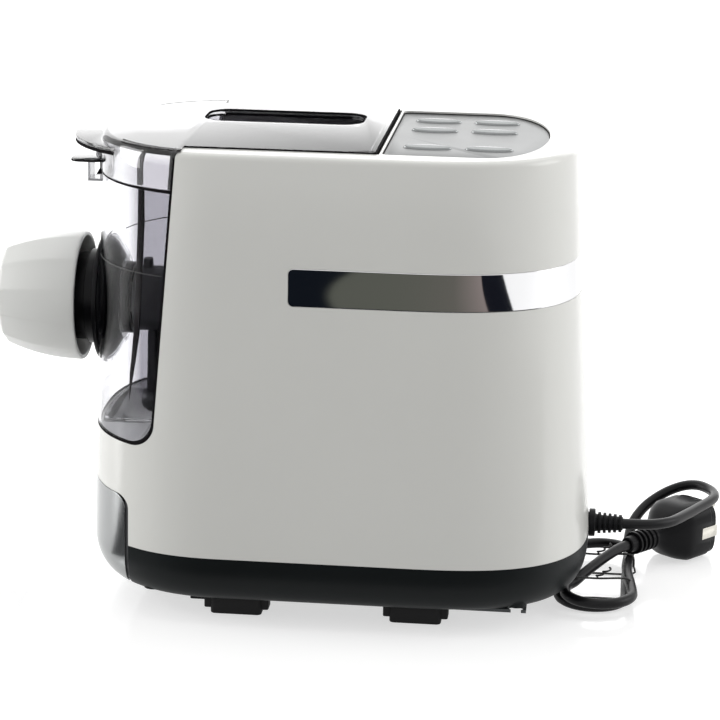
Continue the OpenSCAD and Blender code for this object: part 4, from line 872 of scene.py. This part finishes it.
outer = [(26.4, NUT), (28.2, NUT + 0.5), (29.5, NUT + 1.4)] + [
    (nut_radius(x), x) for x in np.linspace(NUT + 2.2, NUT + 47, 26)] + [
    (39.6, NUT + 48.2), (39.4, NUT + 49.0), (39.0, NUT + 49.4), (38.4, NUT + 49.5)]
bore = [(37.4, NUT + 49.5), (37.0, NUT + 49.2), (36.8, NUT + 48.6), (34.4, NUT + 37.5), (28.4, NUT + 37.5),
        (28.4, NUT + 3.7), (24, NUT + 3.7), (24, NUT + 0.8), (24.5, NUT + 0.2), (25.3, NUT)]
steps, rings = 240, len(outer + bore)
points = []
for k, (radius, x) in enumerate(outer + bore):
    for t in np.linspace(0, 2 * math.pi, steps, endpoint=False):
        r = grip(radius, x, t) if 0 < k < len(outer) - 2 else radius
        points.append((x, r * math.cos(t), AXIS + r * math.sin(t)))
nut = solid(points, [(k * steps + i, k * steps + (i + 1) % steps, (k + 1) % rings * steps + (i + 1) % steps,
                      (k + 1) % rings * steps + i) for k in range(rings) for i in range(steps)])
nut_white = grained("nut_white", (0.76, 0.765, 0.74), 0.34, grain=700, depth=0.000012, shift=0.015,
                    coat=0.15, broad=8, edge=0.0005)
finish(nut, "grip_nut", "nut", "nut_white", nut_white, "extruder_nut", angle=32)

# ---- Extruder head ----
# Black moulding: threaded neck, round flange and a domed rear that sits in the bowl.
NECK = NUT + 8.4  # the neck's front face
profile = [(18.8, NECK), (25.4, NECK), (26.6, NECK + 0.8), (27, NECK + 2.4)]
for k in range(6):
    x = NECK + 3 + 5 * k
    profile += [(27, x), (27.9, x + 0.5), (28, x + 0.9), (28, x + 1.7), (27.8, x + 2.1), (27, x + 2.6)]
profile += [(27, -158), (28.8, -157.9), (29, -157.6), (29, -151.2), (37.6, -151), (38.3, -150.7),
            (38.5, -150.1), (38.5, -148.8), (38.2, -148.2)]
profile += [(dome_radius(x), x) for x in np.linspace(-147.9, DOME_X, 16)]
profile += [(22.6, -137.6), (22, -137), (22, -131.6), (21.4, -131), (18.8, -131)]
head = turned(profile, 160, loop=True)
gloss_black = grained("head_black", (0.004, 0.004, 0.005), 0.34, grain=500, depth=0.0000002, shift=0.1,
                      edge=0.0004, shine=0.16)
finish(head, "neck_and_flange", "housing", "head_black", gloss_black, "extruder_head", angle=30)

# ---- Mixing paddle ----
# Dark moulding on the output shaft: a hub, a round bar that sweeps the trough, and arms.
hub = turned([(8.1, -130), (18.6, -130), (19.6, -129.6), (20, -128.6), (20, -14), (19.2, -13.6),
              (19.2, -11.4), (20, -11), (20, 2.6), (19.6, 3.6), (18.6, 4), (6.1, 4), (6.1, -117.5),
              (8.1, -117.5)], 96, loop=True)
bar_z, bar_r = AXIS - 64, 8.5
bar = [(bar_r * math.sin(a), -119.5 - bar_r * math.cos(a)) for a in np.radians(np.arange(0, 91, 10))]
bar += [(bar_r * math.cos(a), -16 + bar_r * math.sin(a)) for a in np.radians(np.arange(0, 91, 10))]


def arm(x0, x1, half, z0, z1, thin=1.0):
    """A tapering web with rounded edges."""
    rows = [(x0, x1, half, z0), (x0 + thin, x1 - thin, half - thin * 0.6, z1)]
    return bevelled(skin([np.c_[rounded(b - a, 2 * h, 1.6, ((a + b) / 2, 0), 5), np.full(20, z)]
                          for a, b, h, z in rows]), 0.3, 1)


add(hub, turned(bar, 64, z=bar_z), arm(-124, -116, 5, bar_z, AXIS - 17), arm(-32, -22, 5, bar_z, AXIS - 17),
    arm(-70, -60, 4, AXIS + 17, AXIS + 46), arm(-126, -120, 4, AXIS + 17, AXIS + 25, 0.5))
paddle_dark = grained("paddle_dark", (0.09, 0.093, 0.093), 0.4, grain=800, depth=0.00001, shift=0.08,
                      edge=0.0006)
finish(hub, "dough_paddle", "mixer", "paddle_dark", paddle_dark, "mixing_paddle", angle=30)

# ---- Cord bushing ----
# Black moulded bend relief: flange against the tail, tapered sleeve and five ribs.
wall_x = tail_at(CORD_Z)
relief = turned([(0, 144.4), (9, 144.4), (9, wall_x - 4.2), (6.5, wall_x - 4.2), (6.5, wall_x + 0.15),
                 (8.2, wall_x + 0.15), (8.6, wall_x + 0.5), (8.6, wall_x + 3.6), (8.2, wall_x + 4),
                 (5.6, wall_x + 4.2), (4.9, wall_x + 8), (4.2, 173.2), (3.9, 173.5), (0, 173.5)],
                64, z=CORD_Z)


def bend_rib(i):
    """One of the sleeve's ribs, which grow smaller towards its end."""
    r, x = 6.3 - 0.3 * i, wall_x + 5.6 + 3.2 * i
    return turned([(3.4, x), (r, x), (r + 0.35, x + 0.3), (r + 0.35, x + 1.7), (r, x + 2), (3.4, x + 2)],
                  64, z=CORD_Z, loop=True)


add(relief, *[bend_rib(i) for i in range(5)])
plug_black = grained("plug_black", (0.004, 0.004, 0.005), 0.38, grain=700, depth=0.00002, shift=0.12,
                     edge=0.0003, shine=0.14)
finish(relief, "bend_relief", "housing", "plug_black", plug_black, "cord_bushing", angle=30)

# ---- Mains lead ----
# Round black lead, tied in a hank under the machine's tail. It leaves the bushing, lies
# over the plug, comes round behind it and goes into the hank, which ends in the plug.
lead_route = [
    (173.5, 0, CORD_Z), (177.5, 0, CORD_Z), (181, 0, CORD_Z), (187.8, 0.8, 43.4), (194.1, 3.3, 43.2),
    (199.7, 7.2, 43), (204.2, 12.3, 42.7), (208.2, 19.4, 42.4), (212.4, 28, 42), (216.7, 37, 41.6),
    (220.9, 46, 41.3), (225, 54.6, 41), (228.7, 63, 40.8), (231.4, 71.4, 40.7), (231.4, 80.6, 40.7),
    (228.2, 89.2, 40.7), (222.3, 96.3, 40.6), (214.4, 100.9, 38.8), (205.3, 102.5, 35),
    (196.2, 100.9, 30), (188.3, 96.3, 24.6), (182.4, 89.2, 18.8), (179.7, 82.9, 14.3), (178.2, 74, 9.4),
    (178, 65, 5.8), (178.4, 56.5, 3.9)]
tail_route = [
    (145.2, -17.4, 10.1), (149.8, -8.2, 11.6), (155.5, 1.5, 13.6), (161.5, 11.3, 15.6),
    (167.3, 19.9, 17.2), (172.2, 26.8, 18.2), (177, 33, 18.5)]


def bend(centre, radius, a0, a1, z0, z1, count=14):
    """Points of an arc in plan that climbs from one height to another."""
    return [(centre[0] + radius * math.cos(a), centre[1] + radius * math.sin(a), z0 + (z1 - z0) * t)
            for t, a in zip(np.linspace(0, 1, count), np.radians(np.linspace(a0, a1, count)))]


# Down the right-hand run, round the near end, up the left-hand run, round the far end,
# down again on top, and round the near end once more towards the plug
hank_turns = ([(178.6, 48, 3.35), (177.8, 30, 3.3), (177.2, 12, 3.3), (177, -6, 3.3)]
              + bend((156.5, -21), 20.4, 0, -180, 3.3, 3.4)
              + [(136.5, -4, 3.6), (137.1, 12, 4.2), (137.8, 30, 5)]
              + bend((158.6, 46), 20.4, 180, 0, 6, 9.7)
              + [(178, 32, 9.9), (177.2, 16, 9.9), (178, 0, 9.9), (179.6, -16, 9.8)]
              + bend((160.4, -33), 20.4, 4, -178, 9.7, 9.6, 15) + [(140.2, -28.6, 9.7), (141.4, -23.4, 9.8)])


def smooth_line(points, step=2.5):
    """The same route as one smooth curve with evenly spaced points."""
    p = np.asarray(points, float)
    p = p[np.r_[True, np.linalg.norm(np.diff(p, axis=0), axis=1) > 0.5]]
    p = np.vstack([2 * p[0] - p[1], p, 2 * p[-1] - p[-2]])
    fine = []
    for i in range(1, len(p) - 2):
        a, b, c, d = p[i - 1:i + 3]
        for t in np.linspace(0, 1, 8, endpoint=False):
            fine.append(0.5 * (2 * b + (c - a) * t + (2 * a - 5 * b + 4 * c - d) * t * t
                               + (3 * b - a - 3 * c + d) * t ** 3))
    fine = np.array(fine + [p[-2]])
    for _ in range(2):
        fine[1:-1] = (fine[:-2] + 2 * fine[1:-1] + fine[2:]) / 4
    run = np.r_[0, np.cumsum(np.linalg.norm(np.diff(fine, axis=0), axis=1))]
    even = np.linspace(0, run[-1], int(run[-1] / step))
    return np.c_[[np.interp(even, run, fine[:, k]) for k in range(3)]].T


line = smooth_line(lead_route + hank_turns + tail_route)
lead_black = grained("lead_black", (0.005, 0.005, 0.006), 0.36, grain=500, depth=0.00003, shift=0.1,
                     shine=0.22)


def wire(name, points, radius, closed=False):
    """A round wire along points."""
    curve = bpy.data.curves.new(name, "CURVE")
    curve.dimensions = "3D"
    curve.bevel_depth = radius / 1000
    curve.bevel_resolution = 5
    curve.use_fill_caps = True
    spline = curve.splines.new("POLY")
    spline.points.add(len(points) - 1)
    spline.points.foreach_set("co", np.c_[in_frame(points), np.ones(len(points))].ravel())
    spline.use_cyclic_u = closed
    spline.use_smooth = True
    return put(name, curve)


mains_lead = wire("mains_lead", line, 3.25)
mains_lead.data.materials.append(lead_black)
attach(mains_lead, "housing")
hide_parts("cord_lead", "cord_hank", "cord_tail")

# ---- Wire ties ----
# Two thin plastic-coated wires, wound round the hank and twisted at their ends.
tie_black = grained("tie_black", (0.014, 0.014, 0.014), 0.4, grain=900, shift=0.1)
parts = []
for y, left, right in ((-18, 137.4, 176), (27.8, 138, 177.6)):
    loop = [(left - 3.9, 0.9), (left - 4.1, 6), (left - 3.6, 11.5), (left, 13.9), (158, 13.3),
            (right, 14), (right + 3.8, 11.8), (right + 4.1, 6), (right + 3.6, 0.9), (158, 0.75)]
    loop = smooth_line([(x, y + 0.05 * (x - 158), z) for x, z in loop + loop[:2]], 2.0)[:-3]
    parts.append(wire("tie", loop, 0.65, True))
    twist = [(158 + t * 10 + 1.2 * math.cos(t * 16), y + 1.2 * math.sin(t * 16), 13.8 + 7 * t)
             for t in np.linspace(0, 1, 40)]
    parts.append(wire("twist", twist, 0.6))
work = bmesh.new()
for part in parts:
    work.from_mesh(bpy.data.meshes.new_from_object(
        part.evaluated_get(bpy.context.evaluated_depsgraph_get())))
    bpy.data.objects.remove(part)
mesh = bpy.data.meshes.new("hank_ties")
work.to_mesh(mesh)
work.free()
ties = put("hank_ties", mesh)
finish(ties, "hank_ties", "housing", "tie_black", tie_black, "cord_ties", angle=50)

# ---- Plug ----
# Moulded plug with a ribbed bend relief, a body with flattened sides, two round pins and
# an earth clip on each side of the body.
turn = math.radians(50)
along = np.array([math.cos(turn), math.sin(turn), 0])
aside = np.array([-math.sin(turn), math.cos(turn), 0])
PLUG = np.array(tail_route[-1])  # where the lead enters it


def on_plug(points):
    """From the plug's own axes (along, aside, up) to the machine's."""
    p = np.asarray(points, float)
    return PLUG + p[:, :1] * along + p[:, 1:2] * aside + p[:, 2:3] * np.array([0, 0, 1])


def plug_skin(rows, count=72):
    """Sections (t, half width, half height, squareness) along the plug."""
    c, s = ring(1, count).T
    return skin([on_plug(np.c_[np.full(count, x), a * np.sign(c) * np.abs(c) ** (2 / n),
                               b * np.sign(s) * np.abs(s) ** (2 / n)]) for x, a, b, n in rows])


plug = plug_skin([(0, 4.4, 4.4, 2), (0.6, 5, 5, 2), (26, 6.6, 6.6, 2), (29.5, 8.6, 8.6, 2.2),
                  (33, 11.5, 11.5, 2.6), (36, 14, 14, 3), (41, 17, 16.8, 3.6), (46, 18.3, 18.2, 4),
                  (62, 18.3, 18.2, 4), (63, 17.6, 17.5, 4), (67.2, 17.6, 17.5, 4), (68, 17, 16.9, 4)])
add(plug, *[plug_skin([(6 + 4 * i, 6.4, 6.4, 2), (6.4 + 4 * i, 7.2, 7.2, 2), (7.8 + 4 * i, 7.2, 7.2, 2),
                       (8.2 + 4 * i, 6.4, 6.4, 2)], 48) for i in range(5)])
finish(plug, "mains_plug", "housing", "plug_black", plug_black, "plug_body", angle=35)
nickel = grained("pin_nickel", (0.66, 0.64, 0.58), 0.2, metallic=1.0, grain=1600, depth=0.000004,
                 shift=0.05)
pins = add(*[skin([on_plug(np.c_[np.full(32, x), ring(r, 32, (0, z))])
                   for x, r in ((56, 2.4), (84.6, 2.4), (86, 2.1), (86.8, 1.4), (87, 0.5))])
             for z in (-9.5, 9.5)])
finish(pins, "plug_contacts", "housing", "pin_nickel", nickel, "plug_pins", angle=35)
clips = add(*[bevelled(skin([on_plug([(x, 17 * s - 1.5, -3.8), (x, 17 * s + 1.5, -3.8),
                                      (x, 17 * s + 1.5, 3.8), (x, 17 * s - 1.5, 3.8)])
                             for x in (53, 67.9)]), 0.4) for s in (-1, 1)])
finish(clips, "earth_clips", "housing", "pin_nickel", nickel, "plug_earth_clips", angle=35)

# ---- Works inside ----
# Pieces that keep the shape of their solids: the chamber's carrier and sheet frame, the
# gearbox, motor, boards, wiring, shafts, discs, tray and underside cover.


def dress(material, *nodes):
    """Gives a material to pieces that keep the shape of their solids."""
    for name in nodes:
        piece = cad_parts[name]
        piece.data.materials.clear()
        piece.data.materials.append(material)


dress(grained("cover_charcoal", (0.05, 0.055, 0.058), 0.5, grain=1600, depth=0.00002, shift=0.1),
      "bottom_plate")
dress(grained("liner_dark", (0.011, 0.011, 0.012), 0.5, grain=1100, shift=0.1, shine=0.3),
      "bay_liner", "motor_cradle")
dress(grained("frame_steel", (0.5, 0.51, 0.53), 0.35, metallic=1.0, grain=1400, shift=0.08,
              stretch=(1, 1, 8)), "chassis_frame")
dress(grained("case_alloy", (0.48, 0.49, 0.5), 0.5, metallic=0.9, grain=700, depth=0.00005, shift=0.1),
      "gearbox_case", "gearbox_cover")
dress(grained("sintered_bronze", (0.42, 0.27, 0.12), 0.45, metallic=1.0, grain=1800, shift=0.12),
      "shaft_bushes", "motor_bushes", "motor_pinion")
dress(grained("motor_steel", (0.34, 0.35, 0.37), 0.4, metallic=0.9, grain=300, depth=0.00006,
              stretch=(12, 1, 1), shift=0.08), "motor_stator", "motor_rotor")
dress(grained("winding_copper", (0.55, 0.2, 0.07), 0.35, metallic=1.0, grain=500, depth=0.0001,
              stretch=(1, 1, 6), shift=0.12), "motor_coils")
dress(grained("cap_grey", (0.1, 0.105, 0.115), 0.45, grain=900, shift=0.1), "motor_end_caps")
dress(grained("board_green", (0.02, 0.1, 0.04), 0.35, grain=1200, shift=0.2, broad=120),
      "panel_board", "power_board")
dress(grained("component_grey", (0.08, 0.09, 0.12), 0.4, grain=900, shift=0.25, broad=90), "board_parts")
dress(grained("wire_brown", (0.1, 0.05, 0.035), 0.4, grain=700, shift=0.1), "wiring")
dress(grained("switch_black", (0.03, 0.03, 0.033), 0.4, grain=900, shift=0.1),
      "tact_switches", "interlock_switch", "cooling_fan")
dress(grained("seal_black", (0.02, 0.02, 0.02), 0.55, grain=1500, shift=0.1), "shaft_seal")
dress(grained("disc_white", (0.8, 0.8, 0.78), 0.35, grain=800, shift=0.02), "shaping_disc", "spare_discs")
dress(grained("ground_steel", (0.6, 0.6, 0.6), 0.2, metallic=1.0, grain=1800, shift=0.05,
              stretch=(1, 10, 10)), "output_shaft", "idler_axle", "drive_pin", "lid_hinge_pins", "latch_pin")
dress(grained("gear_cream", (0.72, 0.68, 0.56), 0.4, grain=900, shift=0.04), "output_gear", "idler_gear")
dress(grained("auger_black", (0.03, 0.03, 0.032), 0.35, grain=900, shift=0.1), "auger")
dress(grained("tray_grey", (0.07, 0.072, 0.075), 0.4, grain=1200, shift=0.08), "drawer_tray")
dress(grained("plunger_red", (0.5, 0.04, 0.03), 0.35, grain=900, shift=0.06), "interlock_plunger")
